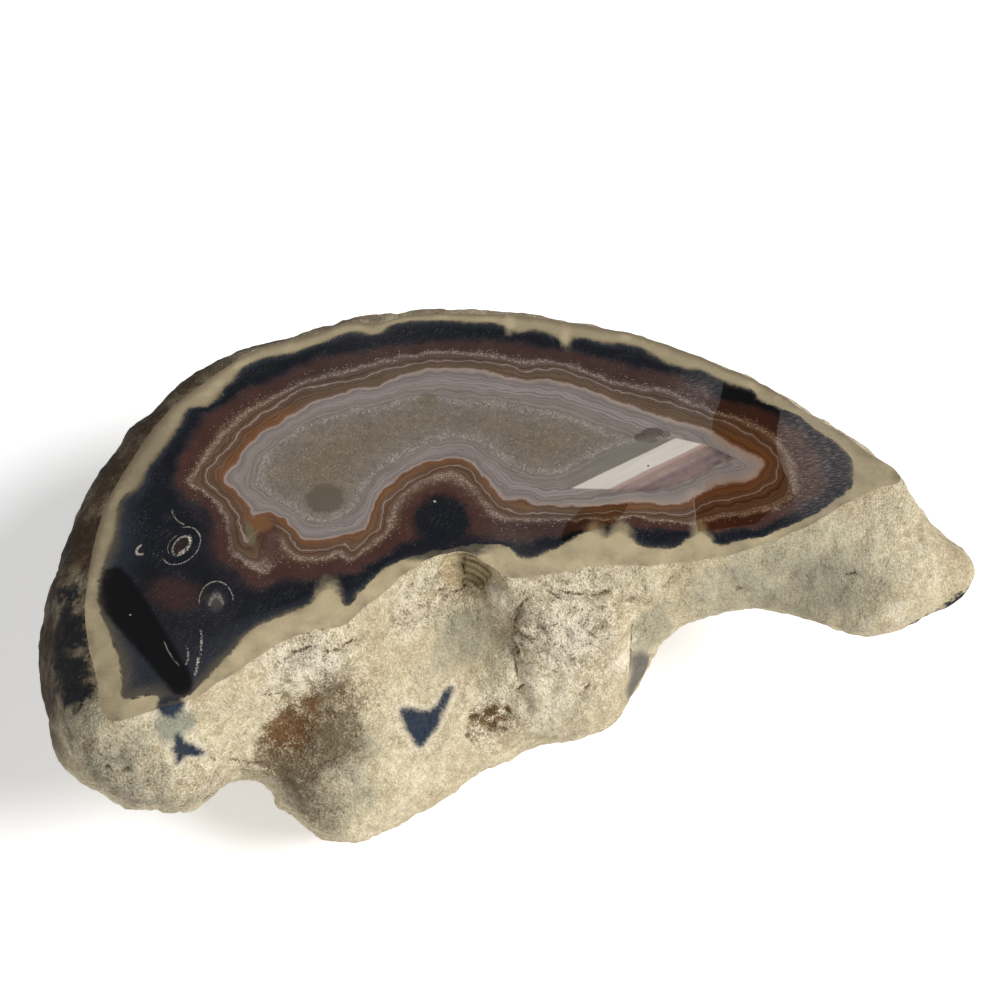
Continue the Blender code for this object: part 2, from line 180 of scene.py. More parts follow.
# Tints laid over the bands: middle, radii, turn in degrees, share of the radius over which it fades,
# the colour's name and how strongly it covers
FACE_TINTS = [
    ("dome glow", (-9.3, -2.6), (6.6, 6.6), 0, 0.55, "russet", 0.8),
    ("dome core", (-9.3, -4.4), (4.6, 5.6), 0, 0.45, "blue_black", 1),
    ("below the dome", (-8.5, -9.6), (7.5, 2.8), 6, 0.6, "blue_black", 0.8),
    ("russet patch", (-50.4, -18.9), (3.9, 2.8), -20, 1.3, "russet", 0.55),
    ("curl", (-36.4, -8.6), (1.7, 4.6), 4, 0.7, "russet", 0.8),
    ("curl arch", (-38, -5), (1.8, 1.6), 0, 0.8, "orange", 0.8),
    ("curl line", (-39.6, -7), (0.7, 2.6), 14, 0.7, "olive", 0.8),
    ("corner by the wedge", (-43.6, -8.6), (2, 4), 10, 0.8, "russet", 0.5),
    ("big disc", (-28.2, 0.3), (3.1, 3), 0, 0.35, "disc_brown", 0.9),
    ("upper disc", (-12.2, 22), (1.7, 1.7), 0, 0.3, "olive", 0.55),
    ("dark spot", (25.2, 14.6), (1.9, 1.1), 12, 0.35, "spot_grey", 0.85),
    ("dark spot left", (23.3, 13.5), (1.1, 1), 0, 0.35, "spot_grey", 0.9),
    ("dark spot right", (27.3, 14.3), (1, 0.8), 0, 0.4, "spot_grey", 0.6),
    ("dark spot foot", (24.8, 13), (1.2, 0.7), 0, 0.4, "spot_grey", 0.7),
    ("eye heart", (-50.5, -9.4), (0.9, 1.5), -20, 0.8, "red_brown", 0.35),
    ("gap", (-48.7, -39.6), (2.1, 1.6), 0, 0.5, "navy", 0.9),
    ("inside the arch", (-43.7, -20.4), (1.1, 1.6), 0, 1.6, "haze_and_sheen", 0.17),
    ("grey cloud", (20, 10.2), (6, 1.4), 32, 0.8, "cloud_grey", 0.6),
]
# Pale wisps that reach in from the rim: middle, radii and turn in degrees
WISPS = [
    ((-26.5, -19.8), (1.5, 2.9), 0), ((15, -7.6), (1.4, 2.4), -8), ((19.2, -7.6), (1.4, 2.4), 0),
    ((32, -8), (1.2, 2.6), 10), ((1.7, 40), (0.8, 2), 0), ((11.4, 36.8), (0.8, 2), 0),
]
# Small marks on top of the polish, in the form of the tints
FLECKS = [
    ("scratch", (31.2, -3.2), (0.12, 3.2), 0, 1.3, "haze_and_sheen", 0.4),
    ("white fleck", (-10.5, -0.3), (0.2, 0.2), 0, 0.5, "crystal", 0.8),
    ("pale fleck", (-56.7, -23), (0.2, 0.17), 0, 0.5, "haze_and_sheen", 0.8),
    ("dark fleck", (24.2, 7.3), (0.14, 0.2), 0, 0.3, "blue_black", 1),
    ("rim pit", (55.2, 19.6), (0.9, 0.3), -38, 0.8, "crevice", 0.8),
    ("rim pit", (56.9, 18.4), (0.5, 0.3), -30, 0.8, "crevice", 0.8),
]
# Round bubbles with a pale heart: x, y and radius
BUBBLES = [
    (2.3, 21.2, 1.2), (5.2, 19.7, 1), (-13, 12.7, 0.8), (-11, 12.7, 0.8), (-4.7, 13, 0.7),
    (-2.7, 11.7, 0.9), (2.7, 6.8, 1), (5, 6.3, 1), (36.5, 8.4, 0.8),
]
# Thin pale rings in the dark chalcedony: middle, radii, turn in degrees, line width, the stretch of the ring
# that shows as its middle bearing and half spread in degrees, how strongly, and how broken up it is
RINGS = [
    ("eye", (-50.3, -9.4), (1.2, 2), -20, 0.2, (0, 180), 0.3, 0),
    ("eye right", (-50.2, -9.2), (1.1, 1.75), -20, 0.4, (0, 80), 0.35, 0.12),
    ("eye arc", (-50.4, -9.4), (2.9, 3.9), -20, 0.13, (0, 115), 0.32, 0),
    ("eye left line", (-50.4, -9.3), (1.9, 2.6), -20, 0.1, (190, 50), 0.2, 0),
    ("arch", (-43.8, -20.4), (2.6, 3.9), 8, 0.13, (90, 90), 0.28, 0),
    ("inner arch", (-43.7, -21.2), (0.95, 2), 6, 0.36, (90, 90), 0.16, 0),
    ("small hook", (-56.4, -10.2), (0.8, 1.1), -30, 0.26, (235, 95), 0.4, 0),
    ("tail", (-50.2, -1.8), (2.4, 3.6), 20, 0.14, (205, 35), 0.24, 0),
    ("white scratch", (-57.2, -29.6), (12, 15), 0, 0.24, (0, 15), 0.5, 0.2),
    ("lower scratch", (-57.5, -31.6), (12, 15), 0, 0.3, (-4, 5), 0.6, 0.12),
    ("left scratch", (-59, -31), (12, 8), 0, 0.14, (3, 14), 0.3, 0.15),
    ("patch line", (-41.8, -23.2), (10, 12), 0, 0.15, (217, 13), 0.2, 0),
]
# Where the bands are warmer in colour, and where a haze and fine scratches dull the polish, the haze being
# partly a painted sheen of the bright surroundings, as soft round places: x, y, radius and strength
WARM_PLACES = [
    (-40, 12, 13, 1), (-33, -8, 12, 0.8), (-18, -4, 10, 1), (-9, 4, 9, 0.9), (2, -2, 6, 0.5),
    (36, 2, 12, 1), (43, 9, 9, 1), (22, -3, 9, 0.8), (-50, 8, 9, 0.4),
]
HAZE_AND_SHEEN_PLACES = [
    (53, 8, 8, 1), (50, 15, 6, 0.9), (34, 24.5, 4.5, 0.8), (50, 0, 5, 0.7), (-46, -26, 9, 0.12),
    (2, -8, 5, 0.3), (-20, 34, 9, 0.15),
]

# Tones of the rind, each a list of soft round places: x, y, depth, radius and strength
RIND_TONES = {
    "brown": [
        (-67, -26, 2, 8, 1), (-64, -35, 1, 5.5, 1), (-72, -34, 10, 9, 0.9), (-75, -24, 18, 10, 0.7),
        (-66, -8, 1, 12, 1), (-64, 8, 1, 10, 1), (-60, 20, 1, 9, 1), (-52, 30, 1, 8, 0.9),
        (-72, -20, 12, 14, 0.9), (-72, 0, 16, 16, 0.9), (-66, 18, 14, 16, 0.9), (-50, 36, 14, 14, 0.7),
        (-40, 38, 2, 7, 0.8), (-28, 42, 2, 7, 0.7), (-12, 45, 2, 8, 0.6), (4, 44, 2, 8, 0.6),
        (20, 40, 2, 8, 0.6), (34, 34, 2, 6, 0.4), (-20, 48, 18, 20, 0.6), (15, 46, 18, 20, 0.5),
        (45, 33, 16, 12, 0.4),
    ],
    "slate": [
        (-66.5, -25, 1, 4.5, 1), (-65.5, -31, 1, 4.5, 1), (-63.4, -36.5, 1, 3.6, 1),
        (-67, -18, 1, 3.5, 0.7), (77, -6, 16, 2.6, 0.9), (74.6, -8.8, 15.6, 2.8, 1),
        (71.6, -10.3, 17.2, 2.8, 1), (68.5, -11.6, 18, 2.6, 0.8),
    ],
    "rust": [
        (-32.8, -33.6, 14.8, 3.8, 1), (-34, -35, 17, 2.6, 0.5), (-30.2, -32.2, 11.6, 3.6, 0.6),
        (5.8, -20.4, 7.5, 4.4, 0.45), (-17, -20, 6, 4, 0.3), (-1, -26.6, 22.5, 2.8, 0.8),
        (-4, -28, 23, 2.2, 0.5), (-62, -44.5, 3, 3, 0.5), (2.4, -25.1, 17.5, 1.6, 0.5),
        (-12, -17, 6, 5, 0.18),
    ],
    # Painted shade: brown-grey on the left, downward-facing side of the front lobe and beside the boss,
    # broken up by the grain
    "dun": [
        (-34.6, -37, 19.4, 4.6, 0.8), (-32, -40.2, 22.4, 5, 0.7), (-30.5, -41.8, 27.4, 5, 0.6),
        (-27.2, -33.4, 14, 5.5, 0.8), (-25.5, -31, 10, 5, 0.7), (-36.5, -36, 18, 3, 0.6),
        (-31.2, -36.2, 17.5, 5, 0.8), (-24.6, -35, 16, 4, 0.5), (15.5, -19, 6.5, 3.6, 0.5),
        (-18, -27, 12, 5, 0.3),
    ],
    "smooth": [
        (67, -8, 9, 12, 1), (52, -10, 8, 11, 0.9), (38, -12, 7, 8, 0.7), (24, -16.5, 12, 5, 0.9),
        (-6, -21, 12, 7, 0.6), (-12, -29, 18, 8, 0.7), (8, -31, 24, 10, 0.8), (20, -22, 20, 7, 0.7),
        (-14, -38, 24, 7, 0.5), (-48.5, -41.5, 3, 5, 0.9), (30, 10, 54, 30, 0.4),
    ],
    # Partly painted shade: grey on the lower, downward-facing parts of the lobes and on the right flat;
    # partly the rind's own greenish grey
    "grey": [
        (-27, -34.2, 15.2, 5.5, 0.75), (-25, -36.5, 17.5, 6, 0.6), (-29, -39, 22, 7, 0.65),
        (-33.5, -40, 26, 6, 0.7), (-5.4, -17.9, 9.6, 5.2, 0.75), (-4, -20, 12.5, 4.5, 0.55),
        (-8, -22.5, 12.5, 5, 0.4), (16.3, -19, 7, 3, 0.3), (48.2, -10.2, 7.9, 12, 0.8),
        (57, -10.5, 9, 8, 0.6), (36, -12.5, 7, 9, 0.65), (66, -10, 11, 7, 0.25), (-60, -40, 3, 7, 0.7),
        (-48, -44, 18, 8, 0.4), (-57, -46, 7, 7, 0.75), (-53, -47, 12, 6, 0.45), (-22, -41, 24, 5, 0.35),
    ],
    "pale": [
        (-28.5, -29.4, 3.6, 4.6, 0.8), (-0.3, -16.8, 4.4, 3.4, 0.8), (63.9, -14.3, 11, 3, 0.7),
        (-35, -30.5, 4, 6, 0.5), (-16, -19, 3.5, 6, 0.5), (10, -20.5, 7, 9, 0.85), (6, -28.5, 19, 8, 0.6),
        (-2, -26, 19, 3.5, 0.5), (70, -8, 10, 4, 0.4), (20.9, -18.2, 13, 1.4, 0.9),
        (-51.8, -40.4, 1, 1.5, 0.9), (-45.4, -40.4, 5, 1.2, 0.6), (19.6, -20.6, 15.5, 2.2, 0.8),
    ],
    "crumbly": [
        (-28.5, -29.6, 3.6, 6.5, 1), (11, -20, 7.5, 9, 0.95), (4, -21, 8, 5, 0.5), (-57, -44.5, 9, 9, 0.7),
        (-48, -44, 16, 9, 0.6), (64, -7, 4, 9, 0.3), (-10, -15, 4, 6, 0.7), (-1, -26.5, 22.5, 4.5, 1),
        (-30, -36, 18, 10, 0.5), (-30, 20, 40, 22, 0.6), (20, 20, 40, 22, 0.6), (55, 20, 20, 12, 0.5),
        (-40, -20, 44, 20, 0.5),
    ],
    "glassy": [
        (-49, -41, 1.8, 2.8, 1), (-48.4, -41.6, 4, 2.6, 1), (-46.8, -40.8, 3.4, 2.4, 0.8),
    ],
}
# Windows of clearer chalcedony in the rind: the value that they give, their middle, how far from it they
# reach and their outline on a sheet square to the view, as (x, down)
WINDOWS = {
    "front": ("blue", (-11.8, -29, 18), 11, [
        (-15.6, 32.7), (-13.8, 32.9), (-11.9, 33.3), (-10.5, 33), (-9.7, 31.8), (-8.9, 30.3), (-8, 29.6),
        (-7.1, 30), (-8, 31.7), (-8.5, 33), (-9.2, 34.6), (-10.1, 36.5), (-11.5, 38), (-12.6, 39.2),
        (-13.8, 37.9), (-14.9, 36.3), (-15.5, 34.5)]),
    "left lobe": ("blue", (-47.3, -42.3, 7.5), 11, [
        (-48.2, 34.9), (-46.9, 36.2), (-45.7, 37), (-44.5, 38.3), (-45.7, 38.7), (-47.1, 38.7), (-48, 39.2),
        (-48.7, 39.6), (-48.9, 38.2), (-48.9, 36.5), (-48.6, 35.6)]),
    "gap": ("blue", (-48.8, -39.8, 1), 11, [
        (-50.6, 28.6), (-46.6, 28.6), (-46.9, 30.6), (-47.9, 32), (-49.4, 32.1), (-50.5, 31.3)]),
    "right": ("smoky", (22.2, -20, 20), 5.5, [
        (20.9, 25.2), (22.4, 24.6), (24.6, 25.4), (27, 27.5), (26, 30.5), (23.6, 32.4), (20.7, 32.4),
        (20.1, 30.3), (20.8, 28.3), (21.1, 26)]),
    "pebble": ("pebble", (23.6, -16.8, 12), 7, [
        (21.2, 20.4), (22.3, 18.6), (23.9, 17.6), (26.2, 18.3), (28, 20.6), (28, 24), (24.6, 25.4),
        (21.7, 24.6)]),
}
VIEW_TILT = math.radians(50)     # how steeply that view looks down
WINDOW_FADE = 1.5                # how far past its reach a window is still measured
# Raised plates and the edge chip, as seen from the front: outlines of (x, depth), with how far they stand and
# over what width they rise
PLATES = {
    "plate": ([(-33.3, 4.8), (-33.2, 2.5), (-31.2, 1.5), (-28.6, 1.2), (-25.4, 2.1), (-22.4, 3.1),
               (-22.8, 4.6), (-24.8, 5.8), (-28, 6.5), (-31, 6)], 0.55, 0.5),
    "boss": ([(1.4, 10), (2.2, 6), (3.7, 3.1), (7.2, 1.8), (9.2, 2.5), (12.3, 2.5), (15, 3.2), (16.8, 3.3),
              (19.6, 5), (20.6, 9), (18.5, 13), (12, 15), (6, 14.6), (2.6, 13)], 0.6, 0.7),
    "chip": ([(-9.2, 0), (-1.9, 0), (-1.2, 2.4), (-1.7, 4.4), (-3.6, 5.9), (-5.7, 6.1), (-8.6, 5)],
             -1.3, 0.9),
}
FRONT_LIMIT = -8.0               # the front is what has a lower y than this
FAR = 5.0                        # stands for any larger distance to a mark
RIM_WAVER = ((4.0, 0.5), (1.6, 0.25))   # sizes and heights of the edge's unevenness
RIM_WAVER_DEPTH = 5.0            # depth below the face at which the edge's unevenness has died away

# Cracks of the rind: line of (x, y, depth), width and how deep they go
CRACKS = {
    "plate edge": ([(-32.9, -31.3, 4.6), (-33.1, -30.4, 2.6), (-32.2, -29.6, 1.9), (-31, -28.8, 1.6),
                    (-28.8, -27.9, 1.4)], 0.55, 0.7),
    "plate right": ([(-25.3, -28, 2.5), (-24.3, -27.3, 2.2), (-22, -25.8, 2.9)], 0.5, 0.6),
    "left crease": ([(-36.3, -33.2, 6.8), (-35, -32.5, 7.8), (-33.4, -31.9, 8.7)], 0.5, 0.5),
    "boss left": ([(5.1, -17.6, 2), (3.6, -18.4, 3.1), (2.4, -19.3, 5.8), (1.7, -19.7, 8.4),
                   (1.7, -20.4, 10.1), (2.2, -21.9, 12.1), (2.5, -24.1, 15.4)], 0.5, 0.4),
    "boss gash": ([(1.3, -19.9, 10), (1.6, -20.6, 10.7), (1.7, -21.3, 11.5)], 0.6, 0.9),
    "boss top left": ([(7.2, -17.1, 1.7), (8.1, -17.3, 1.9), (9.2, -17.9, 2.5)], 0.5, 0.5),
    "boss top": ([(9.2, -17, 1.9), (12.3, -17.1, 2.5), (15, -16.7, 3.2), (16.6, -16.2, 3.2)], 0.5, 0.6),
    "right squiggle": ([(25.6, -15, 4.5), (26.5, -14.6, 3.7), (27.4, -13.8, 2.4)], 0.55, 0.6),
    "slit": ([(12.4, -26.3, 18.2), (13.5, -25.6, 17.1), (14.7, -24.8, 16.5)], 0.7, 1.1),
    "comma": ([(4.3, -26.3, 18.9), (4.6, -26.7, 20.2), (4.3, -27.1, 21.4)], 0.6, 0.7),
    "nick": ([(2.6, -25.3, 17.7), (3.2, -25.1, 16.9), (3.8, -25, 16.2)], 0.6, 0.7),
    "chip line": ([(-5.7, -10.6, 0.8), (-5.7, -11.4, 2.4), (-5.7, -12.3, 4.6), (-5.7, -13.5, 5.7)], 0.5, 0.8),
    "chip foot": ([(-9.3, -14.7, 4.8), (-7.6, -14.1, 5.3), (-5.7, -13.8, 6), (-3.8, -13.9, 6.2),
                   (-2.2, -14, 5)], 0.6, 0.5),
    "tip slit": ([(47.2, -8.3, 2), (48.4, -7.9, 2)], 0.6, 0.9),
    "tip crack": ([(49.5, -9.9, 7.4), (50.5, -9.7, 6.9), (52, -9.6, 6.8)], 0.5, 0.8),
    "tip nick": ([(55.4, -10, 7.3), (56, -9.8, 6.8), (56.9, -9.8, 6.5)], 0.5, 0.7),
    "pebble edge": ([(21.4, -17.2, 10.5), (21, -18.3, 13), (21.4, -19.3, 15.7), (20.9, -21.1, 17.9)],
                    0.6, 0.6),
    "lobe crease": ([(-43.7, -41.8, 11.5), (-40.9, -39.3, 15.8), (-37.9, -37, 19.9)], 0.5, 0.4),
}
# Pits of the rind: x, y, depth, radius and how deep they go
PITS = [
    (20.7, -16.4, 5.3, 0.8, 1), (22.6, -15.3, 3.1, 0.6, 0.6), (16.9, -23.4, 16.3, 0.6, 0.6),
    (-1.6, -26.1, 22, 1.2, 0.9), (1, -26.1, 21.7, 0.9, 1.1), (-1, -27.5, 24, 1.1, 0.8),
    (0.6, -27.9, 24.8, 0.9, 1), (-5, -29.9, 23.5, 0.9, 0.9), (-3.7, -27.2, 22.1, 0.9, 0.7),
    (-58.2, -46.4, 6.5, 0.6, 0.7), (-55.3, -46.4, 7.5, 0.7, 0.7), (-54.2, -47, 9.8, 0.5, 0.6),
    (32, -13.7, 9.4, 0.7, 0.8), (38.5, -11.7, 8.6, 0.8, 0.5), (-9, -12.6, 2.1, 0.8, 0.9),
]
# Places that stand further out than the smoothed mesh: x, y, depth, radius and height
SWELLINGS = [(77.2, -5, 12.8, 4.5, 1.9), (23.6, -17.5, 24, 3.5, 0.8)]
CHIP_CENTRE = (-6, -14.4, -7.6)  # x, y and height of the middle of the shells that the edge chip broke in
CHIP_RIPPLE = 1.05               # distance from one shell to the next
CRACK_REACH = 14.0               # no crack moves anything further than this from its middle
EDGE_CALM = 3.0                  # depth below the face over which the rind becomes rough
FOOT_CALM = 2.5                  # height above the foot over which it becomes rough
CALMER = {"brown": 0.5, "smooth": 0.6}   # share of the roughness that these tones take away
MARK_RISE = 4.0                  # cracks, pits and plates are at full depth from 1 / this of the roughness on
PLACE_FALL = 1.2                 # how fast a soft place fades towards its radius
RIM_CLEARANCE = 0.55             # least distance from the face's inner points to its rim, in steps
SAME_POINT = 1e-7                # points of the face nearer than this would be one
GRAIN_SIZES = ("Crumb Size", "Crumb Height", "Grain Size", "Grain Height", "Lump Size", "Lump Height",
               "Pit Size", "Pit Depth")
CRUMB_WANDER = 1.6               # size and reach of the crumbs' irregularity, in crumbs

# Colours of the polished face from the rind inwards: band count and colour name
BAND_COLOURS = [
    (0, "rim_skin"), (0.2, "rim_tan"), (0.45, "rim_cream"), (0.74, "rim_cream"), (0.87, "rim_tan"),
    (0.97, "rim_olive"), (1.1, "navy"), (1.35, "blue_black"), (1.8, "blue_black"), (2.02, "plum"),
    (2.25, "red_brown"), (2.7, "red_brown"), (2.84, "grey_brown"), (2.94, "speckle"), (3.14, "speckle"),
    (3.24, "grey_brown"), (3.45, "tan_brown"), (3.62, "dark_brown"), (3.86, "tan_brown"),
    (3.95, "dark_brown"), (3.99, "pale_line"), (4.07, "pale_line"), (4.13, "dark_brown"),
    (4.35, "tan_brown"), (4.7, "inner_tan"), (4.94, "inner_edge"), (5.02, "lilac_edge"), (5.12, "lilac"),
    (5.6, "lilac"), (5.95, "lilac_grey"), (6.25, "quartz_grey"), (7, "quartz_olive"),
]
BAND_COUNT = 7.0                 # what the count comes to in the heart of the quartz
# What a colour turns into where the bands are warmer
WARMER = {"tan_brown": "warm_tan", "inner_tan": "orange", "inner_edge": "orange_red",
          "dark_brown": "warm_brown", "grey_brown": "warm_grey", "speckle": "warm_speckle",
          "red_brown": "russet"}
# Fine lines along the bands: how many in a band, a seed, the noise from which they show and are in full, in
# which bands, how strongly and in what colour
THIN_LINES = [
    (9, 3, 0.5, 0.6, "brown", 0.55, "dark_brown"), (8, 9, 0.54, 0.66, "brown", 0.45, "speckle"),
    (15, 17, 0.5, 0.6, "lilac", 0.55, "lilac_line"), (12, 23, 0.52, 0.62, "lilac", 0.6, "lilac_light"),
]
# Colours of the wedge's stripes, at shares of their whole width, which begins a little before STRIPE_START
STRIPE_COLOURS = [
    (0, "cloud_grey"), (0.24, "quartz_grey"), (0.28, "cloud_grey"), (0.3, "stripe_white"),
    (0.55, "stripe_white"), (0.58, "lilac_light"), (0.6, "stripe_peach"), (0.64, "stripe_pink"),
    (0.74, "stripe_pink"), (0.82, "stripe_mauve"), (1, "stripe_pink"),
]
STRIPES_BEFORE = 3.6
STRIPES_WIDTH = 12.0

# The studio, in metres apart from the camera's sensor
FLOOR_SIZE = 30.0                # half the side of the floor
LAMP_DISTANCE = 0.7
FILL_SIZE = 0.6
SUN_SPREAD = math.radians(24)    # how soft the key light is
NEAREST_SEEN = 0.01              # the camera cuts off what is nearer than this
SENSOR_WIDTH = 36.0              # millimetres


def tint(name, description, *screen):
    """A colour property, from its default's red, green and blue on the screen out of 255."""
    light = tuple(((value / 255 + 0.055) / 1.055) ** 2.4 for value in screen)
    return FloatVectorProperty(
        name=name, description=description, subtype="COLOR", size=3, min=0.0, max=1.0, default=light)


def length(name, description, size, least=0.0):
    """A length property, from its default in millimetres."""
    return FloatProperty(name=name, description=description, default=size * MM, min=least * MM, unit="LENGTH")


class AgateShape(bpy.types.PropertyGroup):
    """Sizes of the stone's mesh and of its rough surface."""
    face_step: length("Face step", "Spacing of the mesh of the polished face", 0.6, 0.3)
    wall_levels: IntProperty(
        name="Rind levels", description="How often the rind's mesh is divided", default=2, min=0, max=2)
    crumb_size: length("Crumb size", "Size of the rind's rounded crumbs", 1.8)
    crumb_height: length("Crumb height", "How far the crumbs stand", 1.1)
    grain_size: length("Grain size", "Size of the rind's grain", 1.1)
    grain_height: length("Grain height", "How far the grain stands", 0.7)
    lump_size: length("Lump size", "Size of the rind's lumps", 8.0)
    lump_height: length("Lump height", "How far the lumps stand", 3.8)
    pit_size: length("Pit size", "Size and spacing of the scattered pits", 2.2)
    pit_depth: length("Pit depth", "Depth of the scattered pits", 0.8)


class AgateColours(bpy.types.PropertyGroup):
    """Colours of the polished face and of the rind."""
    rim_skin: tint("Rim skin", "Outermost line of the face", 120, 108, 92)
    rim_tan: tint("Rim tan", "Tan of the rim", 140, 126, 100)
    rim_cream: tint("Rim cream", "Cream of the rim", 160, 147, 119)
    rim_light: tint("Rim light", "Palest cream of the rim", 188, 172, 138)
    rim_olive: tint("Rim olive", "Last line of the rim", 96, 88, 72)
    blue_black: tint("Blue black", "Dark chalcedony", 21, 24, 30)
    navy: tint("Navy", "Outer line of the dark chalcedony", 40, 44, 51)
    plum: tint("Plum", "Fuzzy inner side of the dark chalcedony", 44, 37, 40)
    red_brown: tint("Red brown", "Outer brown band", 66, 47, 43)
    grey_brown: tint("Grey brown", "Band before the speckled line", 80, 65, 58)
    speckle: tint("Speckled line", "Ground of the speckled line", 112, 95, 89)
    tan_brown: tint("Tan brown", "Brown between the lines", 98, 81, 66)
    dark_brown: tint("Dark brown", "Dark lines in the brown", 68, 52, 44)
    pale_line: tint("Pale line", "Thin pale line", 142, 122, 110)
    inner_tan: tint("Inner tan", "Last brown band", 101, 83, 64)
    inner_edge: tint("Inner edge", "Line before the lilac bands", 96, 75, 58)
    lilac_edge: tint("Lilac edge", "First pale line of the lilac bands", 156, 138, 126)
    lilac: tint("Lilac", "Lilac bands", 133, 123, 118)
    lilac_grey: tint("Lilac grey", "Innermost lilac bands", 127, 118, 111)
    lilac_line: tint("Lilac lines", "Thin dark lines in the lilac bands", 98, 86, 84)
    lilac_light: tint("Lilac light", "Thin light lines in the lilac bands", 155, 144, 139)
    quartz_grey: tint("Quartz grey", "Grey quartz", 120, 111, 101)
    quartz_olive: tint("Quartz olive", "Olive quartz", 112, 101, 86)
    quartz_gold: tint("Quartz gold", "Warm heart of the quartz", 120, 106, 88)
    warm_tan: tint("Warm tan", "Brown between the lines where it is warm", 108, 80, 58)
    warm_brown: tint("Warm brown", "Dark lines where it is warm", 82, 55, 40)
    warm_grey: tint("Warm grey", "Band before the speckled line where it is warm", 92, 70, 54)
    warm_speckle: tint("Warm speckle", "Speckled line where it is warm", 122, 100, 86)
    orange: tint("Orange", "Last brown band where it is warm", 118, 80, 50)
    orange_red: tint("Orange red", "Line before the lilac bands where it is warm", 116, 74, 50)
    russet: tint("Russet", "Red-brown glow", 72, 45, 38)
    olive: tint("Olive", "Olive lines and discs", 106, 97, 74)
    disc_brown: tint("Disc brown", "Round disc in the quartz", 97, 87, 75)
    spot_grey: tint("Spot grey", "Dark spot in the quartz", 84, 74, 69)
    cloud_grey: tint("Cloud grey", "Cloud beside the white stripe", 118, 116, 106)
    stripe_white: tint("Stripe white", "White level band", 203, 195, 184)
    stripe_peach: tint("Stripe peach", "Peach line beside the white band", 176, 146, 128)
    stripe_pink: tint("Stripe pink", "Pink level band", 150, 128, 122)
    stripe_mauve: tint("Stripe mauve", "Mauve level band", 122, 104, 103)
    # Partly the real dullness of the scratched polish, partly a painted sheen of the bright surroundings
    haze_and_sheen: tint("Haze", "Dull film and scratches on the polish", 150, 142, 138)
    # Pale crystals and pale lines; as scattered specks, partly painted glints
    crystal: tint("Crystal", "Glints of small crystals", 205, 195, 180)
    cream: tint("Rind cream", "Fresh cream rind", 189, 177, 147)
    sand: tint("Rind sand", "Sandy rind", 176, 160, 129)
    cream_pale: tint("Rind pale", "Palest rind", 228, 217, 194)
    weathered: tint("Weathered brown", "Brown skin of the back and the left side", 56, 42, 28)
    weathered_grey: tint("Weathered grey", "Grey-brown skin of the back", 122, 106, 84)
    slate: tint("Slate", "Dark mottling of the left side", 27, 28, 31)
    rust: tint("Rust", "Rust stains", 104, 74, 44)
    # Partly painted shade on the lower, downward-facing parts, partly greenish-grey rind
    shadow_grey: tint("Soft grey", "Greenish-grey rind", 126, 124, 107)
    glassy: tint("Glassy", "Bluish see-through spots of the rind", 114, 118, 104)
    window_blue: tint("Window blue", "Dark blue windows in the rind", 26, 39, 54)
    # Painted shade of the lobe's left, downward-facing side
    dun: tint("Dun", "Brown-grey grimy rind", 104, 87, 64)
    smoky: tint("Smoky", "Smoke-grey window in the rind", 78, 79, 78)
    chip_tan: tint("Chip tan", "Fresh surface of the edge chip", 176, 156, 116)
    # Darker colour of cracks, pits, the grain's low points and the chip's ripples, where it is partly painted
    # shade
    crevice: tint("Crevice", "Dirt in cracks and pits", 88, 66, 42)


class AgateStudio(bpy.types.PropertyGroup):
    """Camera and light."""
    elevation: FloatProperty(
        name="Camera elevation", description="How steeply the camera looks down", default=math.radians(50),
        subtype="ANGLE")
    distance: length("Camera distance", "From the lens to the middle of the view", 313)
    lens: FloatProperty(name="Lens", description="Focal length in millimetres", default=70.0, unit="CAMERA")
    key: FloatProperty(name="Key light", description="Strength of the key light", default=3.3)
    fill: FloatProperty(name="Fill light", description="Power of the fill light", default=0.6, unit="POWER")
    sky: FloatProperty(name="Sky", description="Strength of the even light from all round", default=0.2)


def arithmetic(operation, swapped=False):
    """A method that adds a Math node for its two values, or for the second and the first."""
    def method(self, other):
        return self.math(operation, *((other, self) if swapped else (self, other)))
    return method


class Value:
    """A node's socket, whose arithmetic adds Math nodes to its tree."""

    def __init__(self, graph, socket):
        self.graph = graph
        self.socket = socket

    def math(self, operation, *inputs):
        """A Math node of these inputs."""
        return self.graph.node("ShaderNodeMath", {"operation": operation}, dict(enumerate(inputs)))

    def output(self, name):
        """Another output of the same node."""
        return Value(self.graph, self.socket.node.outputs[name])

    def __abs__(self):
        return self.math("ABSOLUTE", self)

    __add__ = arithmetic("ADD")
    __radd__ = arithmetic("ADD", swapped=True)
    __sub__ = arithmetic("SUBTRACT")
    __rsub__ = arithmetic("SUBTRACT", swapped=True)
    __mul__ = arithmetic("MULTIPLY")
    __rmul__ = arithmetic("MULTIPLY", swapped=True)
    __truediv__ = arithmetic("DIVIDE")
    __rtruediv__ = arithmetic("DIVIDE", swapped=True)


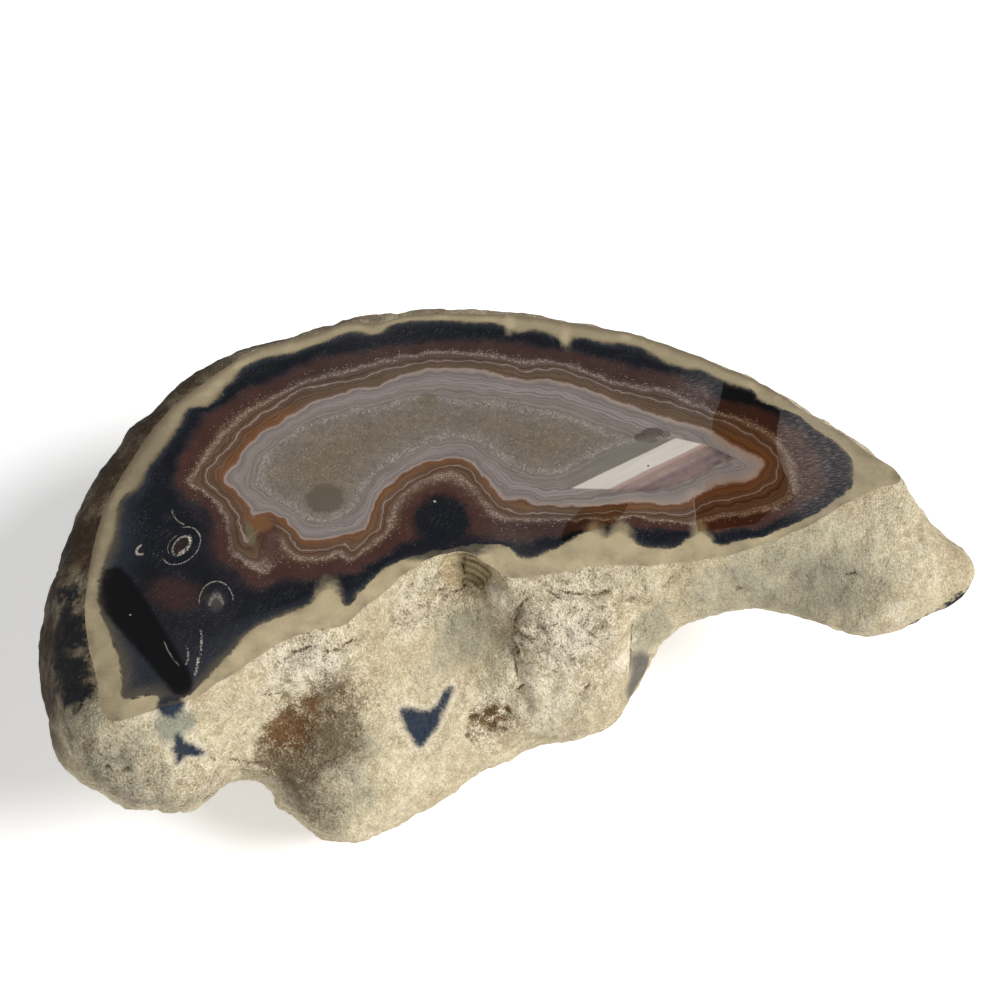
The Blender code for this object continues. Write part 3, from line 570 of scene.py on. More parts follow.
class Graph:
    """Adds nodes to one node tree."""

    def __init__(self, tree, dimensions="3D"):
        self.tree = tree
        self.dimensions = dimensions
        tree.nodes.clear()

    def node(self, kind, settings=None, sockets=None, output=0):
        """Adds a node with its settings, then the values or links of its sockets, and gives one output."""
        made = self.tree.nodes.new(kind)
        for name, value in (settings or {}).items():
            if name == "stops":
                fill_ramp(made.color_ramp, value)
            else:
                setattr(made, name, value)
        for name, value in (sockets or {}).items():
            if isinstance(value, Value):
                self.tree.links.new(value.socket, made.inputs[name])
            else:
                made.inputs[name].default_value = value
        return Value(self, made.outputs[output]) if made.outputs else None

    def vector(self, operation, *inputs, output=0):
        """A Vector Math node."""
        return self.node("ShaderNodeVectorMath", {"operation": operation}, dict(enumerate(inputs)), output)

    def scaled(self, vector, factor):
        """A vector times a number."""
        return self.node("ShaderNodeVectorMath", {"operation": "SCALE"}, {0: vector, "Scale": factor})

    def joined(self, x, y, z=0.0):
        """A vector of three numbers."""
        return self.node("ShaderNodeCombineXYZ", {}, {0: x, 1: y, 2: z})

    def coordinate(self, vector, axis):
        """One of a vector's three numbers."""
        return self.node("ShaderNodeSeparateXYZ", {}, {"Vector": vector}, axis)

    def step(self, value, start, end):
        """0 before start, 1 past end and a soft rise between; start may be the larger."""
        return self.node("ShaderNodeMapRange", {"interpolation_type": "SMOOTHSTEP"},
                         {"Value": value, "From Min": start, "From Max": end})

    def noise(self, place, size, detail=2.0, roughness=0.5, output=0):
        """Soft noise around 0.5 with bumps of about this size."""
        return self.node("ShaderNodeTexNoise", {"noise_dimensions": self.dimensions}, {
            "Vector": place, "Scale": 1.0 / size, "Detail": detail, "Roughness": roughness}, output)

    def cells(self, place, size, feature="F1", output=0):
        """Distance to the nearest of scattered points, in cells of this size."""
        return self.node("ShaderNodeTexVoronoi", {
            "feature": feature, "voronoi_dimensions": self.dimensions}, {
            "Vector": place, "Scale": 1.0 / size}, output)

    def framed(self, place, middle, radii, turn=0.0):
        """The place as seen from an ellipse's middle, turned with it and measured in its radii."""
        turn = math.radians(turn)
        axes = ((math.cos(turn), math.sin(turn)), (-math.sin(turn), math.cos(turn)))
        seen = []
        for (across, up), radius in zip(axes, radii):
            along = self.vector("DOT_PRODUCT", place, (across / radius, up / radius, 0.0), output=1)
            seen.append(along - (across * middle[0] + up * middle[1]) / radius)
        return self.joined(*seen)

    def mix(self, factor, first, second):
        """Mixes two colours."""
        first, second = (c if isinstance(c, Value) else (*c[:3], 1.0) for c in (first, second))
        return self.node("ShaderNodeMix", {"data_type": "RGBA"}, {0: factor, 6: first, 7: second}, output=2)


class Finish(Graph):
    """The node tree of one material, with the drawing's place and the mesh's attributes at hand."""

    def __init__(self, name, dimensions):
        self.material = bpy.data.materials.new(name)
        self.material.use_nodes = True
        super().__init__(self.material.node_tree, dimensions)
        place = self.node("ShaderNodeTexCoord", output="Object")
        place = self.vector("MULTIPLY", place, (1 / MM,) * 3)
        self.place = self.vector("SUBTRACT", place, tuple(DRAWING_ORIGIN / MM))
        self.soft = self.noise(self.place, 4.0, 2.0)
        self.mid = self.noise(self.place, 1.4, 3.0, 0.6)
        self.fine = self.noise(self.place, 0.36, 2.0, 0.6)

    def attribute(self, name):
        """One of the mesh's values, such as the band count."""
        return self.node("ShaderNodeAttribute", {"attribute_name": name}, output="Fac")

    def shaded(self, colour, value):
        """A colour made lighter or darker by a factor."""
        return self.node("ShaderNodeHueSaturation", {}, {"Color": colour, "Value": value})

    def finish(self, colour, roughness, height, bump_distance, specular):
        """Joins the pattern to the shader and gives the material."""
        normal = self.node("ShaderNodeBump", {}, {"Height": height, "Distance": bump_distance})
        shader = self.node("ShaderNodeBsdfPrincipled", {}, {
            "Base Color": colour, "Roughness": roughness, "Normal": normal, "Specular IOR Level": specular})
        self.node("ShaderNodeOutputMaterial", {}, {"Surface": shader})
        return self.material


def fill_ramp(ramp, stops):
    """Sets a colour ramp's stops, each a position and a colour."""
    elements = ramp.elements
    while len(elements) < len(stops):
        elements.new(0.5)
    for element, (position, colour) in zip(elements, stops):
        element.position = position
        element.color = (*colour[:3], 1.0)


def smooth_line(points, fine):
    """Dense points on a smooth closed line through the points, with tangents weighted by their spacing."""
    knots = np.array(points, float)
    knots = np.vstack((knots[-1:], knots, knots[:2]))
    gaps = np.linalg.norm(np.diff(knots, axis=0), axis=1)[:, None]
    slopes = np.diff(knots, axis=0) / gaps
    tangents = (slopes[:-1] * gaps[1:] + slopes[1:] * gaps[:-1]) / (gaps[:-1] + gaps[1:])
    start, end, gaps = knots[1:-2], knots[2:-1], gaps[1:-1, None]
    t = np.linspace(0.0, 1.0, fine, endpoint=False)[None, :, None]
    line = (start[:, None] * (2 * t ** 3 - 3 * t ** 2 + 1) + end[:, None] * (3 * t ** 2 - 2 * t ** 3)
            + tangents[:-1, None] * gaps * (t ** 3 - 2 * t ** 2 + t)
            + tangents[1:, None] * gaps * (t ** 3 - t ** 2))
    return line.reshape(-1, 2)


def in_chunks(measure, points, size=4000):
    """Applies a function to the points a few thousand at a time."""
    return np.concatenate([measure(points[k:k + size]) for k in range(0, len(points), size)])


def distance(points, line, closed=True):
    """Distance from each point to a line, in two or three dimensions."""
    start = line if closed else line[:-1]
    run = (np.roll(line, -1, axis=0) if closed else line[1:]) - start
    length = (run ** 2).sum(axis=1)

    def nearest(some):
        away = some[:, None] - start[None]
        share = np.clip((away * run).sum(axis=2) / length, 0.0, 1.0)
        return np.sqrt(((away - share[..., None] * run) ** 2).sum(axis=2)).min(axis=1)

    return in_chunks(nearest, points)


def inside(points, line):
    """Whether each point lies inside a closed line."""
    x, y = line[:, 0], line[:, 1]
    next_x, next_y = np.roll(x, -1), np.roll(y, -1)

    def odd(some):
        px, py = some[:, :1], some[:, 1:2]
        across = (y > py) != (next_y > py)
        with np.errstate(divide="ignore", invalid="ignore"):
            reach = x + (py - y) / (next_y - y) * (next_x - x)
        return (across & (px < reach)).sum(axis=1) % 2 == 1

    return in_chunks(odd, points)


def depth_inside(points, outline, fine=1):
    """Distance inside a closed outline, negative outside."""
    line = smooth_line(outline, fine) if fine > 1 else np.array(outline, float)
    return distance(points, line) * np.where(inside(points, line), 1.0, -1.0)


def band_count(points, rim):
    """The band count at each point of the face, and the width of the band there."""
    lines = [rim] + [smooth_line(outline, 5) for outline in BAND_LINES.values()]
    away = [distance(points, line) for line in lines]
    level = sum(inside(points, line).astype(int) for line in lines[1:])
    away.append(np.full(len(points), QUARTZ_REACH))
    away = np.array(away)
    near = np.take_along_axis(away, level[None], axis=0)[0]
    far = np.take_along_axis(away, level[None] + 1, axis=0)[0]
    innermost = level == len(lines) - 1
    width = np.where(innermost, QUARTZ_REACH, near + far)
    return level + np.clip(near / np.maximum(width, 1e-6), 0.0, 1.0), width


def soft_places(points, places):
    """How strongly each point, in two or three dimensions, lies in any of the soft round places."""
    covered = np.zeros(len(points))
    upright = np.array((1, 1, -1))[:points.shape[1]]
    for *middle, radius, strength in places:
        away = np.linalg.norm(points - middle * upright, axis=1) / radius
        covered = 1.0 - (1.0 - covered) * (1.0 - strength * np.exp(-away ** 2 * PLACE_FALL))
    return covered


def add_object(name, data):
    """Puts a new object in the scene."""
    thing = bpy.data.objects.new(name, data)
    bpy.context.scene.collection.objects.link(thing)
    return thing


def rough_wall(levels):
    """The rind without its face and flat spot, finely divided: corners on the drawing, normals and faces."""
    bm = bmesh.new()
    bm.from_mesh(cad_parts[NODE].data)
    bmesh.ops.remove_doubles(bm, verts=bm.verts, dist=MERGE_GAP)
    for level in (LOWEST.z, HIGHEST.z):
        flat = [f for f in bm.faces if all(abs(v.co.z - level) < LEVEL_GAP for v in f.verts)]
        bmesh.ops.delete(bm, geom=flat, context="FACES")
    bmesh.ops.join_triangles(bm, faces=bm.faces, angle_face_threshold=math.pi, angle_shape_threshold=math.pi)
    mesh = bpy.data.meshes.new("rind_cage")
    bm.to_mesh(mesh)
    bm.free()
    cage = add_object("rind_cage", mesh)
    divide = cage.modifiers.new("divide", "SUBSURF")
    divide.levels = levels
    divide.render_levels = levels
    wall = bpy.data.meshes.new_from_object(cage.evaluated_get(bpy.context.evaluated_depsgraph_get()))
    corners = np.zeros(len(wall.vertices) * 3)
    normals = np.zeros(len(wall.vertices) * 3)
    wall.vertices.foreach_get("co", corners)
    wall.vertices.foreach_get("normal", normals)
    faces = [tuple(polygon.vertices) for polygon in wall.polygons]
    bpy.data.objects.remove(cage)
    return (corners.reshape(-1, 3) - DRAWING_ORIGIN) / MM, normals.reshape(-1, 3), faces


def open_loops(faces):
    """The open edges of the faces, as loops of corners in the order of the faces' own sides."""
    sides = {(a, b) for face in faces for a, b in zip(face, face[1:] + face[:1])}
    following = {a: b for a, b in sides if (b, a) not in sides}
    loops = []
    while following:
        start, corner = following.popitem()
        loop = [start]
        while corner != start:
            loop.append(corner)
            corner = following.pop(corner)
        loops.append(loop)
    return loops


def weathering(corners):
    """How far cracks, pits, raised plates and the chip move the rind, and its distances to the first two."""
    lift = np.zeros(len(corners))
    crack = np.full(len(corners), FAR)
    pit = np.full(len(corners), FAR)
    for line, width, deep in CRACKS.values():
        line = np.array(line, float) * (1, 1, -1)
        near = np.where(np.linalg.norm(corners - line.mean(axis=0), axis=1) < CRACK_REACH)[0]
        away = distance(corners[near], line, closed=False)
        lift[near] -= deep * np.exp(-(away / width) ** 2)
        crack[near] = np.minimum(crack[near], away)
    for x, y, below, radius, deep in PITS:
        away = np.linalg.norm(corners - (x, y, -below), axis=1)
        lift -= deep * np.exp(-(away / radius) ** 2)
        pit = np.minimum(pit, away - radius)
    for x, y, below, radius, height in SWELLINGS:
        away = np.linalg.norm(corners - (x, y, -below), axis=1)
        lift += height * np.exp(-(away / radius) ** 2)
    for outline, raised, soft in PLATES.values():
        lift += raised * np.clip(seen_from_front(corners, outline) / soft, 0.0, 1.0)
    return lift, crack, pit


def seen_from_front(corners, outline):
    """Distance inside an outline drawn as seen from the front, far outside on the other sides."""
    inside_by = depth_inside(corners[:, [0, 2]] * (1, -1), outline)
    return np.where(corners[:, 1] < FRONT_LIMIT, inside_by, -FAR)


def seen_by_viewer(corners, middle, reach, outline):
    """Distance inside an outline on a sheet square to the view, and within reach of its middle."""
    down = -corners[:, 2] * math.cos(VIEW_TILT) - corners[:, 1] * math.sin(VIEW_TILT)
    inside_by = depth_inside(np.stack((corners[:, 0], down), axis=1), outline, 4)
    room = reach - np.linalg.norm(corners * (1, 1, -1) - middle, axis=1)
    return np.where(room > -WINDOW_FADE, np.minimum(inside_by, room), -FAR)


def waver_rim(corners, normals):
    """Shifts the rind sideways by a little, most at the face's edge, so that the edge isn't too even."""
    shift = np.zeros_like(corners)
    for k in np.where(corners[:, 2] > -RIM_WAVER_DEPTH)[0]:
        x, y, z = corners[k]
        amount = sum(height * noise.noise(Vector((x, y, z * 0.2)) / size) for size, height in RIM_WAVER)
        shift[k, :2] = normals[k, :2] * amount * (1.0 + z / RIM_WAVER_DEPTH)
    return corners + shift


def face_points(rim, step):
    """Points spread over the face at the step, clear of its rim."""
    low, high = rim.min(axis=0), rim.max(axis=0)
    rows = np.arange(low[1], high[1], step * math.sqrt(3) / 2)
    columns = np.arange(low[0], high[0], step)
    x, y = np.meshgrid(columns, rows)
    x = x + step / 2 * (np.arange(len(rows))[:, None] % 2)
    points = np.stack((x.ravel(), y.ravel()), axis=1)
    points = points[inside(points, rim)]
    return points[distance(points, rim) > step * RIM_CLEARANCE]


def face_triangles(rim, rim_line, first, step):
    """The polished face's inner points, whose numbers go on from first, and its triangles, which face up."""
    spread = face_points(rim_line, step)
    sides = [(k, (k + 1) % len(rim)) for k in range(len(rim))]
    placed, _, triangles, *_ = geometry.delaunay_2d_cdt(
        [Vector(p) for p in (*rim_line, *spread)], sides, [], 1, SAME_POINT)
    assert len(placed) == len(rim) + len(spread)
    a, b, c = (placed[k] for k in triangles[0])
    order = 1 if (b - a).cross(c - a) > 0 else -1
    index = [*rim, *range(first, first + len(spread))]
    return np.array(placed)[len(rim):], [tuple(index[k] for k in triangle)[::order] for triangle in triangles]


def rind_values(corners, rim, foot):
    """What the rind's material and roughness read at each corner, and how far its marks move it."""
    rough = np.clip(-corners[:, 2] / EDGE_CALM, 0.0, 1.0)
    height = corners[:, 2] - (LOWEST.z - FACE_LEVEL) / MM
    rough = rough * np.clip(height / FOOT_CALM, 0.0, 1.0)
    values = {name: soft_places(corners, places) for name, places in RIND_TONES.items()}
    for name, share in CALMER.items():
        rough = rough * (1.0 - share * values[name])
    rough[rim] = 0.0
    rough[foot] = 0.0
    lift, values["crack"], values["pit"] = weathering(corners)
    values["rough"] = rough
    for name, middle, reach, outline in WINDOWS.values():
        inside_by = seen_by_viewer(corners, middle, reach, outline)
        values[name] = np.maximum(values.get(name, -FAR), inside_by)
    values["chip"] = seen_from_front(corners, PLATES["chip"][0])
    return values, lift


def face_values(points, rim_line):
    """What the material of the polished face reads at each of its points."""
    band, band_width = band_count(points, rim_line)
    # How far inside the painted dark reflections each point lies
    clear = np.max([depth_inside(points, patch) for patch in DARK_REFLECTION_PATCHES.values()], axis=0)
    return {"band": band, "band_width": band_width, "clear": clear, "wedge": depth_inside(points, WEDGE),
            "warm": soft_places(points, WARM_PLACES), "hazy": soft_places(points, HAZE_AND_SHEEN_PLACES)}


def stone_mesh(shape):
    """The closed mesh of the stone with the values that its materials read."""
    corners, normals, faces = rough_wall(shape.wall_levels)
    loops = sorted(open_loops(faces), key=lambda loop: corners[loop[0], 2])
    foot, rim = loops[0], loops[-1]
    corners = waver_rim(corners, normals)
    corners[rim, 2] = 0.0
    rim_line = corners[rim, :2]
    wall_count = len(faces)
    inner, triangles = face_triangles(rim, rim_line, len(corners), shape.face_step / MM)
    faces = faces + triangles + [tuple(reversed(foot))]

    values, lift = rind_values(corners, rim, foot)
    corners = corners + normals * lift[:, None] * np.clip(values["rough"] * MARK_RISE, 0.0, 1.0)[:, None]
    everything = np.vstack((corners, np.column_stack((inner, np.zeros(len(inner))))))
    on_wall = slice(len(corners))
    on_face = np.ones(len(everything), bool)
    on_face[on_wall] = False
    on_face[rim] = True

    mesh = bpy.data.meshes.new(PIECE)
    mesh.from_pydata((everything * MM + np.array(DRAWING_ORIGIN)).tolist(), [], faces)
    for named, where in ((values, on_wall), (face_values(everything[on_face, :2], rim_line), on_face)):
        for name, some in named.items():
            whole = np.zeros(len(everything))
            whole[where] = some
            mesh.attributes.new(name, "FLOAT", "POINT").data.foreach_set("value", whole)
    polished = np.zeros(len(faces), bool)
    polished[wall_count:-1] = True
    mesh.attributes.new("polished", "BOOLEAN", "FACE").data.foreach_set("value", polished)
    mesh.polygons.foreach_set("use_smooth", ~polished)
    mesh.update()
    return mesh


def grain_tree():
    """Geometry nodes that roughen the rind with lumps, crumbs, grain and pits, and set both materials."""
    tree = bpy.data.node_groups.new("rind_grain", "GeometryNodeTree")
    sockets = tree.interface
    sockets.new_socket("Geometry", in_out="OUTPUT", socket_type="NodeSocketGeometry")
    sockets.new_socket("Geometry", in_out="INPUT", socket_type="NodeSocketGeometry")
    for name in GRAIN_SIZES:
        sockets.new_socket(name, in_out="INPUT", socket_type="NodeSocketFloat")
    for name in ("Rind", "Polish"):
        sockets.new_socket(name, in_out="INPUT", socket_type="NodeSocketMaterial")
    graph = Graph(tree)
    entry = graph.node("NodeGroupInput").output

    def stored(name):
        return graph.node("GeometryNodeInputNamedAttribute", {"data_type": "FLOAT"}, {"Name": name})

    def bumps(size, output=0):
        return graph.noise(place, size, 2.0, 0.6, output)

    place = graph.node("GeometryNodeInputPosition")
    rough = stored("rough")
    crumbly = stored("crumbly") * 0.7 + 0.3
    spread = entry("Crumb Size") * CRUMB_WANDER
    wander = graph.scaled(graph.vector("SUBTRACT", bumps(spread, 1), (0.5, 0.5, 0.5)), spread)
    crumbs = 0.4 - graph.node("ShaderNodeTexVoronoi", {"feature": "SMOOTH_F1"}, {
        "Vector": graph.vector("ADD", place, wander), "Scale": 1.0 / entry("Crumb Size"), "Smoothness": 0.35})
    grain = bumps(entry("Grain Size")) - 0.5
    lumps = bumps(entry("Lump Size")) - 0.5
    pits = graph.step(bumps(entry("Pit Size")), 0.66, 0.74) * crumbly
    lift = ((crumbs * entry("Crumb Height") + grain * entry("Grain Height")) * crumbly
            + lumps * entry("Lump Height") - pits * entry("Pit Depth")) * rough
    crust = graph.node("GeometryNodeStoreNamedAttribute", {"data_type": "FLOAT", "domain": "POINT"}, {
        "Geometry": entry("Geometry"), "Name": "crust", "Value": (crumbs + grain - pits) * crumbly * rough})
    offset = graph.scaled(graph.node("GeometryNodeInputNormal"), lift)
    moved = graph.node("GeometryNodeSetPosition", {}, {"Geometry": crust, "Offset": offset})
    polished = graph.node("GeometryNodeInputNamedAttribute", {"data_type": "BOOLEAN"}, {"Name": "polished"})
    whole = graph.node("GeometryNodeRealizeInstances", {}, {"Geometry": moved})
    coated = graph.node("GeometryNodeSetMaterial", {}, {"Geometry": whole, "Material": entry("Rind")})
    coated = graph.node("GeometryNodeSetMaterial", {}, {
        "Geometry": coated, "Selection": polished, "Material": entry("Polish")})
    graph.node("NodeGroupOutput", {}, {"Geometry": coated})
    return tree


def face_finish(colours):
    """The polished face: bands, quartz, wedge, tints and the state of the polish."""
    pattern = Finish("polished_agate", "2D")
    band = wavy_band(pattern)
    colour = banded_colour(pattern, colours, band)
    left = pattern.coordinate(pattern.place, "X")
    ends = pattern.step(left, -48.0, -58.0) + pattern.step(left, 42.0, 52.0) * 0.7
    colour = pattern.shaded(colour, 1.0 - ends * pattern.step(band, 1.1, 0.85) * 0.3)
    colour = thin_lines(pattern, colours, colour, band)
    colour = crystals(pattern, colours, colour, band)
    colour = wedge_stripes(pattern, colours, colour)
    colour = tinted(pattern, colours, colour, FACE_TINTS)
    wisps = sum(ellipse_cover(pattern, *wisp, 1.8) for wisp in WISPS)
    colour = pattern.mix(wisps * 0.8, colour, colours.rim_light)
    for *middle, radius in BUBBLES:
        away = pattern.vector("LENGTH", pattern.framed(pattern.place, middle, (radius, radius)), output=1)
        colour = pattern.mix(pattern.step(abs(away - 0.9), 0.22, 0.05) * 0.4, colour, colours.lilac_line)
        colour = pattern.mix(pattern.step(away, 0.85, 0.1) * 0.4, colour, colours.lilac)
    colour, marks = polish_state(pattern, colours, colour, band)
    rings = sum(ring_cover(pattern, *ring[1:]) for ring in RINGS)
    colour = pattern.mix(rings, colour, colours.crystal)
    colour = tinted(pattern, colours, colour, FLECKS)
    return pattern.finish(colour, 0.16 + marks * 0.3, pattern.fine, 0.03 * MM, 0.2)


def tinted(pattern, colours, colour, tints):
    """Lays tints or flecks over a colour."""
    for _, middle, radii, turn, fade, name, strength in tints:
        cover = ellipse_cover(pattern, middle, radii, turn, fade) * strength
        colour = pattern.mix(cover, colour, getattr(colours, name))
    return colour


def ellipse_cover(pattern, middle, radii, turn, fade):
    """Cover of a soft ellipse with an uneven edge."""
    away = pattern.vector("LENGTH", pattern.framed(pattern.place, middle, radii, turn), output=1)
    away = away + (pattern.mid - 0.5) * (fade * 0.4 + 0.25)
    return pattern.step(away, 1.0 + fade / 2, 1.0 - fade / 2)


def wavy_band(pattern):
    """The band count with small natural wavers, scalloped in the inner bands."""
    band = pattern.attribute("band")
    width = pattern.attribute("band_width")
    width = width.math("MAXIMUM", width, 1.5)
    scallops = pattern.cells(pattern.place, 2.4, "SMOOTH_F1") - 0.4
    inner = pattern.step(band, 0.4, 3.0) * 0.7 + 0.3
    waver = (scallops * 0.9 + (pattern.mid - 0.5) * 0.5) * inner
    fuzz = (pattern.fine - 0.5) * 0.7 + (pattern.mid - 0.5) * 0.6 + (pattern.soft - 0.5) * 1.5
    fuzz = fuzz * pattern.step(abs(band - 1.5), 1.2, 0.4)
    return band + (waver + fuzz) * pattern.step(band, 0.1, 0.6) / width


def banded_colour(pattern, colours, band):
    """The bands' ground colours, mixed from a cool and a warm set."""
    share = band / BAND_COUNT
    cool = [(at / BAND_COUNT, getattr(colours, name)) for at, name in BAND_COLOURS]
    warmer = [(at / BAND_COUNT, getattr(colours, WARMER.get(name, name))) for at, name in BAND_COLOURS]
    cool = pattern.node("ShaderNodeValToRGB", {"stops": cool}, {"Fac": share})
    warmer = pattern.node("ShaderNodeValToRGB", {"stops": warmer}, {"Fac": share})
    warm = pattern.attribute("warm") + (pattern.soft - 0.5) * 0.5
    colour = pattern.mix(pattern.step(warm, 0.1, 0.8), cool, warmer)
    rim = pattern.step(band, 1.0, 0.9)
    near = pattern.vector("DOT_PRODUCT", pattern.place, (0.35, -1.0, 0.0), output=1)
    near = pattern.step(near, -14.0, 4.0)
    streak = (pattern.mid - 0.5) * 0.7 + (pattern.soft - 0.5) * 1.3
    light = (near * 0.75 + streak) * rim * pattern.step(band + near * 0.4, 0.1, 0.4)
    colour = pattern.mix(light, colour, colours.rim_light)
    value = 1.0 + (pattern.soft - 0.5) * 0.3 + (pattern.fine - 0.5) * 0.28
    return pattern.shaded(colour, value)


def thin_lines(pattern, colours, colour, band):
    """Thin dark and light lines that run along the bands."""
    along = pattern.noise(pattern.place, 30.0, 0.0) * 1.2
    bands = {"brown": pattern.step(band, 2.9, 3.2) * pattern.step(band, 5.0, 4.9),
             "lilac": pattern.step(band, 5.02, 5.1) * pattern.step(band, 6.3, 5.9)}
    for count, seed, start, full, name, strength, shade in THIN_LINES:
        strand = pattern.noise(pattern.joined(band * count, along + seed), 1.0, 2.0, 0.6)
        cover = pattern.step(strand, start, full) * bands[name] * strength
        colour = pattern.mix(cover, colour, getattr(colours, shade))
    return colour


def crystals(pattern, colours, colour, band):
    """Small crystals, whose pale specks are partly painted glints, and the granular look of the quartz."""
    quartz = pattern.step(band, 5.95, 6.2)
    heart = pattern.step(band + (pattern.soft - 0.5) * 1.2, 6.2, 6.9)
    colour = pattern.mix(heart * quartz * 0.5, colour, colours.quartz_gold)
    grains = pattern.cells(pattern.place, 0.27, output="Color")
    near = pattern.step(grains.output("Distance"), 0.45, 0.2)
    chance = pattern.node("ShaderNodeSeparateColor", {}, {"Color": grains})
    other = chance.output("Green")
    druse = pattern.step(abs(band - 6.11 + (pattern.mid - 0.5) * 0.2), 0.09, 0.02)
    colour = pattern.mix(druse * 0.3, colour, colours.lilac_light)
    speckled = pattern.step(abs(band - 3.02), 0.24, 0.08)
    rough = (other - 0.5) * (quartz * 0.3 + druse * 0.4 + speckled * 0.8) + (pattern.mid - 0.5) * quartz * 0.5
    colour = pattern.shaded(colour, 1.0 + rough)
    dense = (speckled * 0.4 + pattern.step(abs(band - 2.8), 0.35, 0.1) * 0.12 + druse * 0.2 + quartz * 0.05
             + 0.006)
    dense = dense * (pattern.soft * 1.6 + 0.2)
    # Pale crystal specks, partly painted glints off their faces
    glint = near * pattern.step(chance, 1.0 - dense, 1.02 - dense)
    return pattern.mix(glint * (other * 0.4 + 0.2), colour, colours.crystal)


def wedge_stripes(pattern, colours, colour):
    """The level-banded wedge: a cloudy edge, a white stripe, a peach line, then pink and mauve."""
    across = pattern.coordinate(pattern.framed(pattern.place, STRIPE_START, (1.0, 1.0), STRIPE_TURN), "Y")
    along = across.output("X")
    below = (pattern.soft - 0.5) * 0.25 - across
    streaks = pattern.noise(pattern.joined(below * 1.6, along * 0.12), 1.0, 3.0)
    stops = [(at, getattr(colours, name)) for at, name in STRIPE_COLOURS]
    stripe = (below + STRIPES_BEFORE) / STRIPES_WIDTH
    stripe = pattern.node("ShaderNodeValToRGB", {"stops": stops}, {"Fac": stripe})
    deep = pattern.step(below, 3.2, 5.0)
    bubbles = pattern.step(pattern.cells(pattern.place, 1.3, "SMOOTH_F1"), 0.2, 0.5) * deep
    edge = pattern.attribute("wedge")
    shade = pattern.step(edge, 1.6, 0.2) * deep * 0.3 + pattern.step(along, 17.0, 27.0) * deep * 0.25
    stripe = pattern.shaded(stripe, 1.04 + (streaks - 0.5) * (deep * 0.2 + 0.25) - bubbles * 0.1 - shade)
    cover = pattern.step(edge, -0.1, 0.25)
    cloud = pattern.step(below, -3.2, 0.0) * 0.9 + 0.1
    return pattern.mix(cover * cloud, colour, stripe)


def ring_cover(pattern, middle, radii, turn, width, stretch, strength, gaps):
    """Cover of a thin ring or part of one."""
    seen = pattern.framed(pattern.place, middle, radii, turn)
    away = pattern.vector("LENGTH", seen, output=1)
    away = away + (pattern.mid - 0.5) * (0.3 / min(radii))
    line = pattern.step(abs(away - 1.0), width / min(radii), width / min(radii) * 0.3)
    bearing, spread = (math.radians(angle) for angle in stretch)
    if spread < math.pi:
        facing = pattern.vector("DOT_PRODUCT", seen, (math.cos(bearing), math.sin(bearing), 0.0), output=1)
        soft = 0.1 * (1.0 - math.cos(spread))
        line = line * pattern.step(facing / away, math.cos(spread) - soft, math.cos(spread) + soft)
    return line * pattern.step(pattern.fine + pattern.mid * 0.5, 0.5 + gaps, 0.9) * strength * 1.6


def polish_state(pattern, colours, colour, band):
    """Dulls the polish with haze and scratches, and deepens the clear patches. The haze is partly a painted
    sheen of the bright surroundings, the pale scratch streaks are partly painted glare, and the clear patches
    are painted dark reflections.
    """
    hazy = pattern.attribute("hazy")
    left = pattern.coordinate(pattern.place, "X")
    soft = pattern.step(left, -30.0, -50.0) * 0.4 + 0.1
    # Painted dark reflection: how far inside a clear patch each point lies, softer towards the left
    clear = pattern.step((pattern.attribute("clear") + (pattern.mid - 0.5) * 0.5) / soft, -1.0, 1.0)

    def scratches(turn, length, width, seed):
        seen = pattern.framed(pattern.place, (seed, seed), (length, width), turn)
        return pattern.step(pattern.noise(seen, 1.0, 1.0), 0.5, 0.66)

    level = scratches(14, 1.3, 0.17, 3.0) * hazy * 0.9
    steep = scratches(60, 2.6, 0.16, 40.0) * (pattern.soft - 0.2)
    marks = (level + steep * 0.22) * (1.0 - clear)
    dust = pattern.step(pattern.fine, 0.66, 0.76) * pattern.step(pattern.soft, 0.35, 0.65)
    dark = pattern.step(band, 5.2, 4.9) * pattern.step(band, 0.9, 1.08)
    # Painted dark reflection: the colour without the painted haze, darker, and black at the far left
    deep = pattern.vector("SUBTRACT", colour, REFLECTED_HAZE)
    deep = pattern.vector("MULTIPLY", deep, DARK_REFLECTION_SHARE)
    deep = pattern.vector("MAXIMUM", deep, DARK_REFLECTION_LEAST)
    black = pattern.step(band, 1.9, 1.6) * pattern.step(left, -10.0, -40.0) * 0.9
    deep = pattern.mix(black, deep, DARK_REFLECTION_BLACK)
    colour = pattern.mix(clear * dark, colour, deep)
    # Painted sheen of the bright surroundings where hazy, partly painted glare along the scratches, and dust
    film = hazy * 0.14 + marks * 0.4 + dust * 0.3 * (1.0 - clear)
    return pattern.mix(film * (1.0 - clear * 0.95), colour, colours.haze_and_sheen), marks


